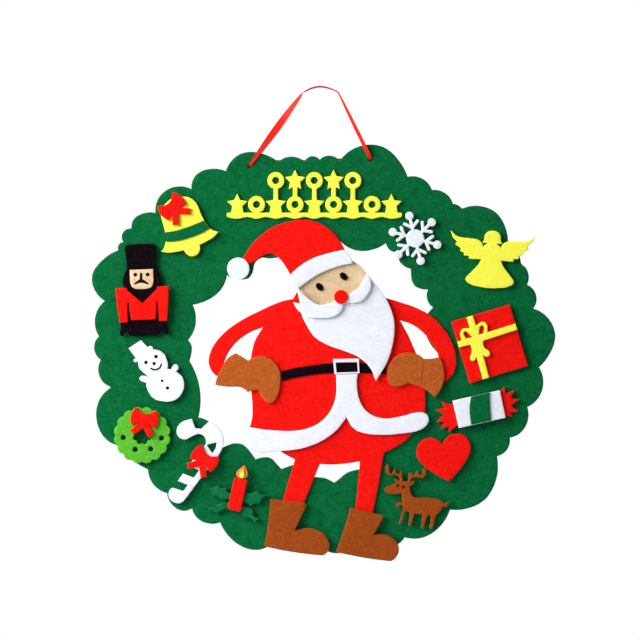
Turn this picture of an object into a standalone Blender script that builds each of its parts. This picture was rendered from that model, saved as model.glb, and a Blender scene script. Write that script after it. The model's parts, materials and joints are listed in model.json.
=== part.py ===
"""A felt Christmas wreath to hang on a wall.

A scalloped ring of stiff green felt carries a glued felt figure in front of its opening, a
glued garland and twelve small felt ornaments. Each ornament sticks to the ring by a round
hook-and-loop dot. A red satin ribbon runs through two punched holes and over the wall's hook.

The frame is the wall's: +X to the right, +Z up, -Y towards the viewer. The origin is the hook.
Outlines of the ring and of the figure are given in the photograph's pixels, and those of the
ornaments in hundredths of their own width and height, with their middle at zero.
A point with a third value is a corner; the others lie on smooth stretches between corners.
"""
import math

import bmesh
import bpy
from mathutils import Vector

# Driving sizes, in metres
BOARD_WIDTH = 0.600
FIGURE_HEIGHT = 0.443
BOARD_THICKNESS = 0.003
FELT_THICKNESS = 0.0025
THIN_FELT_THICKNESS = 0.001
HOOK_THICKNESS = 0.0015
SEAM_GAP = 0.0003
OUTLINE_SAG = 0.0003

RIBBON_WIDTH = 0.010
RIBBON_THICKNESS = 0.0005
RIBBON_HOLE_RADIUS = 0.0027
KNOT_WIDTH = 0.016
KNOT_HEIGHT = 0.013
KNOT_THICKNESS = 0.005

EYE_RADIUS = 0.006
NOSE_RADIUS = 0.009

BELL_WIDTH = 0.078
BELL_HEIGHT = 0.080
BELL_TILT = 19
SOLDIER_WIDTH = 0.0685
SOLDIER_HEIGHT = 0.119
SOLDIER_TILT = 2.4
SNOWMAN_WIDTH = 0.067
SNOWMAN_HEIGHT = 0.101
SNOWMAN_TILT = 29
SMALL_WREATH_WIDTH = 0.0738
SMALL_WREATH_TILT = 0
CANE_WIDTH = 0.0906
CANE_HEIGHT = 0.1165
CANE_TILT = -30
CANDLE_WIDTH = 0.078
CANDLE_HEIGHT = 0.088
CANDLE_TILT = -12
SNOWFLAKE_WIDTH = 0.0725
SNOWFLAKE_TILT = 44
ANGEL_WIDTH = 0.110
ANGEL_HEIGHT = 0.075
ANGEL_TILT = -4
GIFT_WIDTH = 0.0787
GIFT_HEIGHT = 0.083
GIFT_TILT = 16.6
CANDY_WIDTH = 0.109
CANDY_HEIGHT = 0.0466
CANDY_TILT = 12.5
HEART_WIDTH = 0.071
HEART_HEIGHT = 0.059
HEART_TILT = 9.6
REINDEER_WIDTH = 0.0803
REINDEER_HEIGHT = 0.0725
REINDEER_TILT = -8
BOW_WIDTH = 0.0338
BOW_HEIGHT = 0.0360
GARLAND_WIDTH = 0.227
GARLAND_HEIGHT = 0.0634
DOT_RADIUS = 0.008
SMALL_DOT_RADIUS = 0.006

# Pixels of the photograph that tie the outlines to the driving sizes
BOARD_WIDTH_PIXELS = 463.4
FIGURE_HEIGHT_PIXELS = 342.0
HOOK_PIXELS = (320.0, 87.2)
FIGURE_MIDDLE_PIXELS = (335.0, 390.0)
PIXEL = BOARD_WIDTH / BOARD_WIDTH_PIXELS
FIGURE_PIXEL = FIGURE_HEIGHT / FIGURE_HEIGHT_PIXELS

HUNDREDTH = 0.01
COARSEST_TURN = math.radians(22)
FIRST_CIRCLE_ANGLE = math.radians(20)
CORNER = 1

# Distances from the board's middle plane to the back of each layer, towards the viewer
BOARD_FRONT = BOARD_THICKNESS / 2
FIRST_LAYER = BOARD_FRONT + SEAM_GAP
SECOND_LAYER = FIRST_LAYER + FELT_THICKNESS + SEAM_GAP
BEARD_LAYER = SECOND_LAYER + THIN_FELT_THICKNESS + SEAM_GAP
MOUSTACHE_LAYER = BEARD_LAYER + FELT_THICKNESS + SEAM_GAP
NOSE_LAYER = MOUSTACHE_LAYER + FELT_THICKNESS + SEAM_GAP
ORNAMENT_LAYER = BOARD_FRONT + SEAM_GAP + HOOK_THICKNESS + SEAM_GAP
ORNAMENT_TOP_LAYER = ORNAMENT_LAYER + FELT_THICKNESS + SEAM_GAP
ORNAMENT_CREST_LAYER = ORNAMENT_TOP_LAYER + FELT_THICKNESS + SEAM_GAP

GREEN = (0.012, 0.165, 0.058)
LIME = (0.107, 0.479, 0.025)
RED = (0.905, 0.012, 0.014)
WHITE = (0.86, 0.87, 0.90)
BROWN = (0.371, 0.108, 0.022)
BLACK = (0.012, 0.010, 0.012)
BEIGE = (0.70, 0.48, 0.24)
YELLOW = (1.0, 0.871, 0.052)
ORANGE = (0.87, 0.22, 0.05)
HOOK_GREY = (0.30, 0.30, 0.30)
FELT_ROUGHNESS = 0.95
SATIN_ROUGHNESS = 0.35

# The ribbon's routes in metres: point, width as a share of the ribbon's, turn of its face in degrees
RIBBON_FRONT_ROUTE = (
    (-0.0914, 0.0000, -0.1022, 0.37, 0), (-0.0911, -0.0010, -0.1018, 0.37, 0),
    (-0.0908, -0.0018, -0.1013, 0.37, 0), (-0.0902, -0.0022, -0.1005, 0.38, 0),
    (-0.0879, -0.0026, -0.0974, 0.43, 0), (-0.0831, -0.0029, -0.0908, 0.54, 0),
    (-0.0748, -0.0032, -0.0794, 0.69, 0), (-0.0665, -0.0034, -0.0680, 0.84, 0),
    (-0.0581, -0.0035, -0.0566, 0.93, 4), (-0.0498, -0.0035, -0.0451, 0.94, 12),
    (-0.0415, -0.0034, -0.0337, 0.90, 26), (-0.0346, -0.0033, -0.0242, 0.86, 40),
    (-0.0290, -0.0032, -0.0166, 0.82, 55), (-0.0249, -0.0031, -0.0109, 0.80, 68),
    (-0.0222, -0.0030, -0.0074, 0.78, 78), (-0.0185, -0.0030, -0.0052, 0.78, 84),
    (-0.0130, -0.0030, -0.0024, 0.78, 87), (-0.0050, -0.0030, 0.0000, 0.78, 88),
    (0.0020, -0.0030, 0.0004, 0.78, 90), (0.0105, -0.0030, -0.0012, 0.78, 92),
    (0.0180, -0.0030, -0.0040, 0.78, 94), (0.0222, -0.0030, -0.0062, 0.78, 97),
    (0.0243, -0.0030, -0.0085, 0.78, 101), (0.0270, -0.0030, -0.0139, 0.77, 106),
    (0.0322, -0.0030, -0.0245, 0.76, 112), (0.0406, -0.0032, -0.0418, 0.74, 122),
    (0.0491, -0.0036, -0.0592, 0.70, 132), (0.0567, -0.0040, -0.0747, 0.62, 146),
    (0.0618, -0.0034, -0.0851, 0.52, 162), (0.0643, -0.0026, -0.0903, 0.43, 174),
    (0.0652, -0.0022, -0.0921, 0.38, 180), (0.0655, -0.0018, -0.0929, 0.37, 180),
    (0.0657, -0.0010, -0.0934, 0.37, 180), (0.0659, 0.0000, -0.0939, 0.37, 180))
RIBBON_BACK_ROUTE = (
    (-0.0914, 0.0003, -0.1022, 0.37, 0), (-0.0909, 0.0012, -0.1022, 0.37, 0),
    (-0.0902, 0.0020, -0.1021, 0.37, 0), (-0.0889, 0.0024, -0.1020, 0.42, 0),
    (-0.0860, 0.0025, -0.1018, 0.56, 0), (-0.0760, 0.0026, -0.1010, 0.86, 0),
    (-0.0600, 0.0026, -0.1000, 1.00, 0), (-0.0400, 0.0026, -0.0990, 1.00, 0),
    (-0.0240, 0.0026, -0.0982, 0.90, 0), (-0.0120, 0.0026, -0.0977, 0.70, 0),
    (0.0000, 0.0026, -0.0972, 0.90, 0), (0.0180, 0.0026, -0.0963, 1.00, 0),
    (0.0360, 0.0026, -0.0954, 1.00, 0), (0.0500, 0.0026, -0.0947, 0.90, 0),
    (0.0600, 0.0025, -0.0942, 0.56, 0), (0.0634, 0.0024, -0.0941, 0.42, 0),
    (0.0647, 0.0020, -0.0940, 0.37, 0), (0.0654, 0.0012, -0.0939, 0.37, 0),
    (0.0659, 0.0003, -0.0939, 0.37, 0))
KNOT_ROW = 9

BOARD_EDGE_PIXELS = (
    (225.9, 171.1, 1), (211.5, 168.8), (196.5, 174.5), (191.4, 189.1, 1), (174.8, 186.8), (158.4, 198.5),
    (155.5, 212.9, 1), (145.0, 212.9), (132.3, 221.8), (131.4, 228.5, 1), (122.3, 233.9), (123.4, 241.9, 1),
    (118.0, 246.5), (118.3, 250.3, 1), (102.0, 260.5), (91.9, 276.9), (95.6, 291.6), (104.8, 300.9, 1),
    (94.8, 321.0), (99.0, 336.3, 1), (94.1, 347.4), (100.8, 359.8, 1), (98.5, 372.4), (110.9, 387.3, 1),
    (98.0, 403.0), (97.0, 422.0), (104.0, 437.0), (118.0, 446.0, 1), (133.3, 461.2), (148.0, 469.5, 1),
    (153.8, 484.8), (167.1, 493.1, 1), (172.8, 505.4), (182.4, 510.7), (192.0, 508.4, 1), (198.2, 518.8),
    (210.5, 523.7), (220.1, 522.4, 1), (229.2, 536.7), (243.0, 547.0), (258.0, 549.8), (270.5, 545.0, 1),
    (281.0, 547.0), (292.0, 545.5, 1), (306.0, 549.5), (322.0, 547.0, 1), (338.6, 553.1), (352.0, 545.5, 1),
    (366.0, 551.0), (380.0, 543.5, 1), (393.0, 546.0), (404.6, 537.3, 1), (423.2, 537.4), (439.8, 526.7),
    (450.0, 509.6, 1), (466.0, 508.8), (484.6, 499.8), (493.6, 486.6), (497.9, 469.0), (497.1, 456.1, 1),
    (505.6, 451.3), (509.8, 437.6, 1), (518.7, 434.2), (526.2, 425.1), (527.3, 407.1, 1), (540.7, 393.9),
    (539.0, 367.2, 1), (549.5, 354.2), (555.3, 336.3), (548.8, 319.0), (533.3, 308.5, 1), (536.2, 295.5),
    (527.1, 284.7, 1), (528.1, 272.6), (521.4, 263.7, 1), (517.0, 251.5), (508.0, 243.0, 1), (504.8, 225.8),
    (495.8, 212.5), (479.9, 206.0), (462.2, 208.6, 1), (457.2, 204.9), (452.9, 203.8, 1), (446.1, 193.8),
    (431.9, 189.9, 1), (421.9, 178.4), (407.6, 176.8, 1), (399.0, 160.7), (383.9, 147.3), (361.5, 145.7),
    (339.7, 160.9, 1), (327.5, 155.7), (319.7, 159.7, 1), (312.3, 156.2), (304.5, 161.5, 1), (292.4, 156.6),
    (278.3, 161.8, 1), (262.1, 153.6), (242.8, 153.0), (225.9, 171.1, 1))
BOARD_OPENING_PIXELS = (
    (227.0, 275.0, 1), (221.0, 289.5), (209.2, 299.2), (192.6, 304.7, 1), (195.8, 322.4), (188.0, 340.2, 1),
    (191.4, 345.4), (191.7, 351.5), (189.4, 361.0, 1), (197.8, 379.8), (200.6, 398.2), (198.3, 417.4, 1),
    (208.7, 421.4, 1), (214.8, 429.5), (219.5, 438.5), (222.7, 447.6, 1), (228.8, 444.8), (234.8, 443.3),
    (242.1, 444.3), (247.9, 449.0), (255.6, 459.3, 1), (260.8, 457.7), (267.3, 457.2), (272.4, 459.2),
    (276.4, 463.6), (281.4, 468.9, 1), (286.9, 467.0), (293.9, 465.0), (302.0, 467.5), (312.0, 476.8, 1),
    (319.5, 477.4), (325.9, 478.4), (334.1, 482.7, 1), (340.0, 478.3), (345.4, 473.7), (351.9, 470.9),
    (360.8, 469.2), (369.0, 469.5, 1), (374.0, 453.0), (389.0, 439.0), (405.0, 429.0), (416.5, 413.0),
    (420.5, 397.0), (430.0, 381.0), (441.5, 369.0), (441.5, 360.0), (437.0, 352.3, 1), (430.6, 344.2),
    (426.3, 335.5), (424.5, 325.0), (427.4, 314.0), (433.0, 307.4, 1), (428.4, 302.4), (426.7, 295.8),
    (428.1, 289.4, 1), (422.1, 289.1), (415.4, 286.5), (411.3, 278.0), (410.7, 268.6, 1), (405.1, 266.7),
    (400.0, 262.0), (398.4, 257.0), (396.8, 253.2, 1), (393.0, 251.6), (390.2, 250.3), (387.5, 247.2),
    (385.8, 243.1, 1), (378.0, 247.8), (368.8, 250.5), (356.0, 250.3), (345.5, 245.6), (335.5, 235.0, 1),
    (322.0, 247.0), (303.0, 244.0, 1), (291.0, 253.5), (277.0, 257.6), (269.6, 258.4), (262.9, 257.6),
    (254.3, 264.4, 1), (252.9, 271.4), (248.2, 278.4), (241.0, 279.6), (227.0, 275.0, 1))
RIBBON_HOLES_PIXELS = ((249.4, 166.1), (370.9, 159.7))

HAT_PIXELS = (
    (243.1, 258.9, 1), (254.7, 241.5), (271.3, 228.2), (289.5, 221.6), (306.1, 220.2), (322.7, 224.9),
    (336.0, 235.6), (346.5, 256.0, 1), (318.0, 263.0), (293.5, 281.5, 1), (285.0, 265.8), (277.5, 256.8),
    (270.0, 253.6), (260.5, 257.2), (250.6, 264.0, 1))
HAT_BAND_PIXELS = (
    (290.4, 275.2, 1), (300.9, 265.6), (314.3, 257.9), (331.0, 252.8), (343.8, 250.1, 1), (350.6, 256.9, 1),
    (352.3, 263.8, 1), (336.6, 267.0), (319.9, 273.7), (307.6, 281.5), (298.6, 288.3, 1), (294.6, 289.4, 1))
POMPOM_PIXELS = ((227.4, 268.8), (238.5, 257.7), (249.6, 268.8), (238.5, 279.9))
FACE_PIXELS = (
    (295.5, 283.5, 1), (319.0, 265.5), (347.4, 258.2, 1), (357.0, 263.5), (366.8, 274.8, 1), (364.5, 291.0),
    (357.0, 303.0, 1), (334.0, 309.5), (315.5, 308.5), (304.5, 299.5))
EYES_PIXELS = ((319.6, 287.0), (343.6, 276.4))
EYE_TILT = 26
EYE_SLIMNESS_SHARE = 0.62
NOSE_PIXELS = (341.0, 297.0)
LEFT_MOUSTACHE_PIXELS = (
    (297.8, 287.6, 1), (298.6, 296.0), (300.2, 303.6, 1), (293.4, 302.3, 1), (296.6, 308.6), (302.8, 314.0),
    (310.5, 317.6), (320.5, 318.2), (331.0, 317.4), (338.8, 313.6), (342.8, 307.0), (343.0, 300.6, 1),
    (336.0, 300.6), (327.7, 304.0), (318.8, 304.9), (311.4, 300.9), (303.1, 294.0))
RIGHT_MOUSTACHE_PIXELS = (
    (343.9, 299.8, 1), (351.1, 293.0), (357.8, 288.2), (363.2, 280.4), (366.6, 273.4, 1), (370.9, 281.4),
    (370.3, 289.2), (365.7, 297.1), (358.9, 302.4), (352.2, 303.2), (347.2, 302.0))
BEARD_PIXELS = (
    (298.6, 303.1, 1), (302.1, 315.7), (306.9, 325.5), (315.4, 337.6), (333.6, 347.3), (356.0, 355.6),
    (367.7, 364.8), (375.8, 380.7, 1), (384.2, 367.5), (392.5, 344.3), (394.0, 321.0), (386.4, 299.8),
    (378.4, 288.2), (368.5, 276.0, 1), (361.5, 296.0), (350.0, 299.2), (338.0, 302.8), (320.0, 308.0),
    (305.5, 305.4))
COAT_PIXELS = (
    (297.2, 292.0, 1), (293.0, 299.0, 1), (282.9, 301.1), (261.0, 310.4), (236.5, 323.5), (218.2, 339.3),
    (209.9, 354.2), (209.1, 364.2), (216.6, 375.8, 1), (240.0, 381.0), (250.6, 386.0, 1), (252.6, 412.5, 1),
    (248.8, 429.0, 1), (280.0, 438.5), (308.0, 435.5), (330.0, 424.5), (345.8, 407.5, 1),
    (356.0, 420.0), (374.0, 427.0), (402.0, 426.5), (424.4, 421.5, 1), (425.2, 403.0), (424.5, 386.0, 1),
    (445.0, 381.0, 1), (453.7, 372.4), (455.4, 354.2), (445.4, 331.0), (428.8, 314.4), (407.3, 304.5),
    (384.6, 297.6, 1), (376.0, 310.0), (350.0, 315.0), (318.0, 313.5), (302.6, 301.0))
LEFT_ARM_HOLE_PIXELS = (
    (263.0, 327.3, 1), (243.5, 336.5), (228.5, 352.5), (224.5, 362.0, 1), (250.5, 366.0, 1), (252.0, 352.0),
    (256.0, 338.5))
RIGHT_ARM_HOLE_PIXELS = (
    (400.1, 320.5, 1), (408.2, 335.5), (418.0, 358.5, 1), (437.8, 362.5, 1), (436.6, 351.0, 1),
    (427.0, 337.0), (415.5, 326.6))
BELT_PIXELS = (
    (281.6, 371.2, 1), (304.0, 366.4), (333.0, 363.0), (362.0, 362.8), (385.6, 365.0, 1), (385.9, 373.8, 1),
    (361.0, 373.0), (330.0, 372.9), (304.0, 375.9), (281.9, 381.0, 1))
BUCKLE_PIXELS = ((332.9, 358.9, 1), (358.8, 358.5, 1), (359.4, 373.3, 1), (334.6, 374.0, 1))
BUCKLE_WINDOW_PIXELS = ((335.6, 362.4, 1), (357.2, 362.1, 1), (357.9, 371.9, 1), (336.6, 372.4, 1))
COAT_TRIM_PIXELS = (
    (336.0, 374.6, 1), (336.5, 390.0), (331.8, 408.5), (318.0, 423.6), (300.4, 429.9), (277.4, 430.4),
    (249.5, 426.9, 1), (243.6, 431.0), (243.0, 442.0), (251.0, 449.6), (279.9, 450.8), (306.0, 447.0),
    (331.5, 434.2), (346.6, 416.9, 1), (350.6, 424.8), (358.6, 431.3), (370.6, 434.0), (388.4, 434.5),
    (408.0, 432.5), (421.2, 429.0), (428.3, 421.4), (427.0, 414.6), (419.2, 412.1), (405.0, 415.3),
    (390.4, 418.3), (375.8, 416.6), (364.0, 408.2), (357.4, 390.8), (357.6, 374.0, 1))
TROUSERS_PIXELS = (
    (268.0, 441.9, 1), (283.0, 439.9), (308.4, 436.7), (330.6, 425.3), (345.8, 408.9, 1), (355.6, 421.1),
    (373.8, 428.1), (402.0, 427.7), (419.0, 424.5, 1), (413.0, 432.2), (406.1, 439.8), (396.4, 446.4),
    (383.8, 452.4, 1), (379.0, 481.0), (371.4, 519.0, 1), (354.6, 514.8, 1), (357.6, 488.0),
    (359.8, 461.0, 1), (339.0, 464.0), (319.8, 463.8, 1), (303.6, 503.5, 1), (282.2, 502.7, 1),
    (288.6, 481.0), (295.0, 459.2, 1), (287.2, 455.2), (279.6, 450.4))
LEFT_BOOT_PIXELS = (
    (270.6, 498.6, 1), (305.0, 502.4, 1), (306.6, 504.6, 1), (294.9, 530.2, 1), (304.3, 527.9),
    (315.6, 529.0), (325.3, 535.0), (329.3, 542.8), (328.3, 550.2), (322.4, 554.9, 1), (293.0, 551.5),
    (264.5, 545.8, 1), (268.4, 522.0))
RIGHT_BOOT_PIXELS = (
    (350.3, 507.0, 1), (383.7, 515.2, 1), (381.5, 520.5), (373.2, 534.9, 1), (383.0, 534.0), (392.8, 537.9),
    (398.3, 545.3), (397.8, 553.6), (390.6, 560.6, 1), (363.0, 557.0), (335.9, 551.3, 1), (343.6, 530.0))
LEFT_MITTEN_PIXELS = (
    (223.3, 365.5, 1), (229.0, 357.2), (235.9, 353.2, 1), (242.0, 356.6), (248.3, 360.6, 1), (254.0, 357.2),
    (261.3, 355.9), (273.0, 360.6), (279.6, 370.0), (280.4, 382.0), (277.4, 396.0), (270.5, 403.2),
    (263.5, 399.0), (258.6, 389.8, 1), (253.6, 390.2), (247.9, 392.0, 1), (240.0, 386.9, 1), (228.0, 386.6),
    (215.6, 384.6, 1), (218.4, 374.0))
RIGHT_MITTEN_PIXELS = (
    (387.4, 377.3, 1), (389.6, 363.7), (397.8, 354.9), (408.7, 352.4), (417.3, 354.3), (423.6, 358.8, 1),
    (432.4, 358.4), (439.3, 356.8, 1), (443.4, 367.2), (443.9, 378.6), (434.4, 397.1, 1), (427.5, 391.0),
    (418.3, 386.3), (407.6, 382.7, 1), (399.0, 386.4), (391.4, 385.4))

BELL_SHARES = (
    (0, 50.0), (12.6, 47.2), (24.8, 40.2), (31.2, 28), (32.6, 10), (34.5, -4), (38, -14), (44, -22),
    (50, -26, 1), (41, -31), (28, -34), (13.4, -35.8, 1), (12.4, -41.6), (8.6, -47), (0, -50))
BELL_BAND_SHARES = (
    (-34.2, 1.5, 1), (-17, -1.5), (0, -2.4), (17, -1.9), (33.2, -1, 1), (34.6, -8), (38.6, -15.4, 1),
    (20, -19.0), (0, -19.5), (-20, -17.8), (-38.4, -12.6, 1), (-35, -6))
BELL_BOW_SPOT_SHARE = (-8, 35)
BELL_BOW_TILT = 24

SOLDIER_BASE_SHARES = (
    (0, 50.6, 1), (23.6, 50.2, 1), (28.6, 48.4), (30, 44.4, 1), (27.4, 25.8, 1), (31.4, 20), (36.1, 12.4),
    (34, 3.6, 1), (43, 3, 1), (43.6, -34, 1), (46, -47, 1), (42, -49.2, 1), (37.1, -46.8, 1),
    (32.2, -43.6, 1), (28.4, -48.8, 1), (0, -49.2, 1))
SOLDIER_FACE_SHARES = ((0, 22.7, 1), (21.9, 22.7, 1), (22, 14), (21.6, 8.4), (18.6, 4), (12, 2), (0, 1.4))
SOLDIER_JACKET_SHARES = (
    (0, -14, 1), (27, 0.4, 1), (28.6, 3.4, 1), (50.2, 3.4, 1), (48, -16), (44.5, -34.2, 1), (29.2, -34, 1),
    (29.3, -22), (28, -12, 1), (26, -12, 1), (25, -22), (23, -32, 1), (0, -32, 1))

SNOWMAN_SHARES = (
    (-24.3, 38.5, 1), (4.5, 40, 1), (9.5, 27.7, 1), (14.7, 27.6), (17.5, 24.8), (16.1, 22.4, 1),
    (25.6, 17), (30.8, 7.3), (28.2, -1.8), (22.1, -8.6, 1), (28.5, -11.6, 1), (33.7, -8.7),
    (40.8, -8.7), (43, -12.1), (34.2, -16.3, 1), (39.4, -25), (36.7, -35.1), (26.3, -43.5),
    (8.2, -48.1), (-10.6, -44.7), (-24.3, -37.5), (-31.3, -26.5), (-30.2, -16.2), (-26.4, -11.7, 1),
    (-32.3, -6.9), (-34.6, -2.6), (-30, -0.3), (-22.8, -2.2), (-17.2, -6.1, 1), (-22.3, 2.7),
    (-24.6, 10.8), (-21.2, 18.2, 1), (-25.6, 18.6), (-27.6, 20.9), (-24.7, 23), (-21.1, 22.6, 1))

SMALL_WREATH_LOBES = 16
SMALL_WREATH_VALLEY_SHARE = 46
SMALL_WREATH_OPENING_LOBES = 8
SMALL_WREATH_OPENING_SHARES = (12.5, 16.5)
SMALL_WREATH_HOLES_SHARES = ((-33, -4), (-12, -25), (15, -24), (34, -5))
SMALL_WREATH_HOLE_SHARE = 4.5
SMALL_WREATH_BOW_SPOT_SHARE = (4, 27)
SMALL_WREATH_BOW_TILT = -10

BOW_SHARES = (
    (0, 22, 1), (17, 26), (33, 37), (41, 40, 1), (50, 22), (53, 2), (47, -23, 1), (33, -20),
    (20, -13, 1), (32, -29), (47, -46, 1), (36, -49.5, 1), (32.5, -61, 1), (17, -48), (0, -29, 1))

CANE_SHARES = (
    (-26, 31, 1), (-34, 25), (-38, 15.5), (-34, 8.5), (-26, 6), (-18.5, 8), (-14, 13.5), (-8.5, 19.5),
    (0, 21.3), (6, 18.8), (9, 13.5, 1), (4.5, -8), (3.2, -16, 1), (19.4, -14.6, 1), (18.4, -24.4, 1),
    (2, -26.4, 1), (0.8, -36.4, 1), (16.2, -34.8, 1), (14.8, -43.2, 1), (-1, -45.8, 1), (-2.4, -51),
    (1.6, -57), (9, -59), (18, -57.4), (22.4, -51.6), (25, -36), (28, -15), (31.4, 0), (33, 14),
    (30.6, 25), (23.5, 33), (12, 37.6), (-3, 38, 1), (-7.5, 26.4, 1), (-15, 24, 1))
CANE_WINDOW_SHARES = ((10.5, 14.2, 1), (21.5, 22.3, 1), (24.4, 16), (23.8, 9.4, 1))
CANE_BOW_SPOT_SHARE = (18, -1.5)
CANE_BOW_TILT = -5

CANDLE_SHARES = ((-14, 33, 1), (8, 33.5, 1), (8, -14, 1), (-14, -14, 1))
FLAME_SHARES = (
    (-1.5, 54, 1), (4.8, 47), (7, 40.5), (4, 35.6), (-3, 34.1), (-9.4, 35.6), (-12, 40.5), (-7.4, 48))
FLAME_HEART_SHARES = ((-3, 48.5), (0.4, 44), (1.8, 40), (-2.6, 36), (-7.4, 40), (-6.2, 44.4))
HOLLY_SHARES = (
    (-10, 10, 1), (-20, 10, 1), (-24, 17, 1), (-28.6, 14.4), (-33, 14, 1), (-38, 18, 1), (-43, 13),
    (-52, 10, 1), (-45.6, 6.6), (-43, 1, 1), (-35.6, 1.4), (-28, -2, 1), (-10, 1, 1), (-10, -4, 1),
    (-28, -7, 1), (-31, -10.4), (-35, -12, 1), (-33.2, -15, 1), (-39, -15.6), (-47, -20, 1), (-38, -20.6),
    (-30, -24.5, 1), (-27.4, -21), (-25, -20, 1), (-14.6, -12, 1), (8.6, -12, 1), (15, -23, 1),
    (20, -20.4, 1), (28, -21), (36, -25, 1), (37.6, -21.4), (42, -19, 1), (34, -17.4), (28, -13.8, 1),
    (30, -11, 1), (22, -6, 1), (6, -5, 1), (6, 3, 1), (23, -3, 1), (28, 1.4, 1), (37, 3.6, 1), (36.6, 7),
    (38, 10, 1), (40.4, 14.4), (45.5, 18, 1), (37, 17), (30, 19.4, 1), (27, 22.4, 1), (20, 16.4, 1),
    (6, 14, 1))

SNOWFLAKE_ARMS = 6
SNOWFLAKE_HUB_SHARE = 16
SNOWFLAKE_ARM_SHARES = (
    (16, 2.8, 1), (18.6, 2.8, 1), (27, 13.5, 1), (30.9, 14), (31.4, 10.1, 1), (25.7, 2.8, 1),
    (34.6, 2.8, 1), (37.2, 6.3), (42, 7.4), (46.6, 5.2), (48.6, 0))

ANGEL_SHARES = (
    (0, 49.5), (6.4, 47), (9.4, 40.4), (9.8, 33), (11.6, 27.8, 1), (6, 27.4, 1), (6, 25.6, 1), (9, 23.8),
    (10.6, 20.4, 1), (13, 28.6), (18, 32.8), (27, 34), (37, 34.6), (44, 38), (49.8, 45, 1), (46.6, 33),
    (41, 26, 1), (42.8, 22.6), (40, 18.6), (36, 15.6, 1), (36.8, 11.8), (34.6, 9.4), (31.6, 7.8, 1),
    (32.4, 4.8), (29.6, 3.4), (25.6, 3.2, 1), (26.6, 0.2), (22, -1.6), (11.6, -0.8, 1), (14, -9),
    (20, -20), (27, -31.5), (28.4, -37.6), (25, -43), (14, -48), (0, -49.8))

GIFT_RIBBON_SHARES = (
    (-24, 50, 1), (-13.4, 50, 1), (-13, 33, 1), (-7.5, 35), (-1.5, 36.4), (3.6, 33), (4.6, 27),
    (1.8, 18.2, 1), (50, 18.8, 1), (50, 8.8, 1), (-8.4, 7.6, 1), (-9.6, -4), (-5.2, -9.2), (-4, -14.5),
    (-8, -18), (-12.4, -17), (-15.6, -12.4, 1), (-16.8, -50, 1), (-27.4, -50, 1), (-26.6, -13, 1),
    (-29.4, -16.6), (-34, -18), (-37.6, -15.6), (-36, -10), (-32, -4), (-31, 7.4, 1), (-50, 8.2, 1),
    (-50, 18, 1), (-41.4, 17.8, 1), (-42, 27), (-37.6, 33.4), (-31, 34.2), (-24, 32, 1))
GIFT_LEFT_LOOP_SHARES = ((-35.4, 21), (-36.4, 27), (-33.6, 29.8), (-28.6, 25.6), (-24.2, 18, 1), (-34, 18, 1))
GIFT_RIGHT_LOOP_SHARES = ((-12.6, 18.4, 1), (-10.2, 25.4), (-5, 31), (-1.2, 29.6), (-2, 24), (-4.6, 18.4, 1))

CANDY_ENDS_SHARES = (
    (-25.7, 29.7, 1), (-31.4, 32.6, 1), (-38.8, 43.7, 1), (-36.2, 22.4, 1), (-48.3, 24.9, 1),
    (-39.3, 6.7, 1), (-50, -8.6, 1), (-40, -13.2, 1), (-46.3, -29.5, 1), (-36.1, -29.7, 1),
    (-38.3, -44, 1), (-25.9, -30.5, 1), (31.6, -34.2, 1), (33.3, -33.6, 1), (39.3, -40.2, 1),
    (37.8, -28.1, 1), (47.9, -29.9, 1), (40.6, -10.2, 1), (52.2, 2.6, 1), (42.1, 9.7, 1),
    (48.5, 30.3, 1), (37.1, 25.7, 1), (37.6, 45.8, 1), (32.2, 34.8, 1), (30.7, 26.6, 1))
CANDY_WRAPPER_SHARES = ((-25.8, 39, 1), (31.6, 39, 1), (31.2, -39, 1), (-25.4, -39, 1))
CANDY_STRIPE_SHARES = (
    (-3.4, 39, 1), (19.4, 39, 1), (17.2, 20), (13.4, -37.4, 1), (-10.4, -37.4, 1), (-8.6, 4))

HEART_SHARES = (
    (0, 31, 1), (8, 42), (19, 49.2), (32, 48.4), (44, 38.5), (49.6, 23.5), (46.4, 3), (35, -16),
    (19, -34), (4.6, -48), (0, -50))

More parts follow.
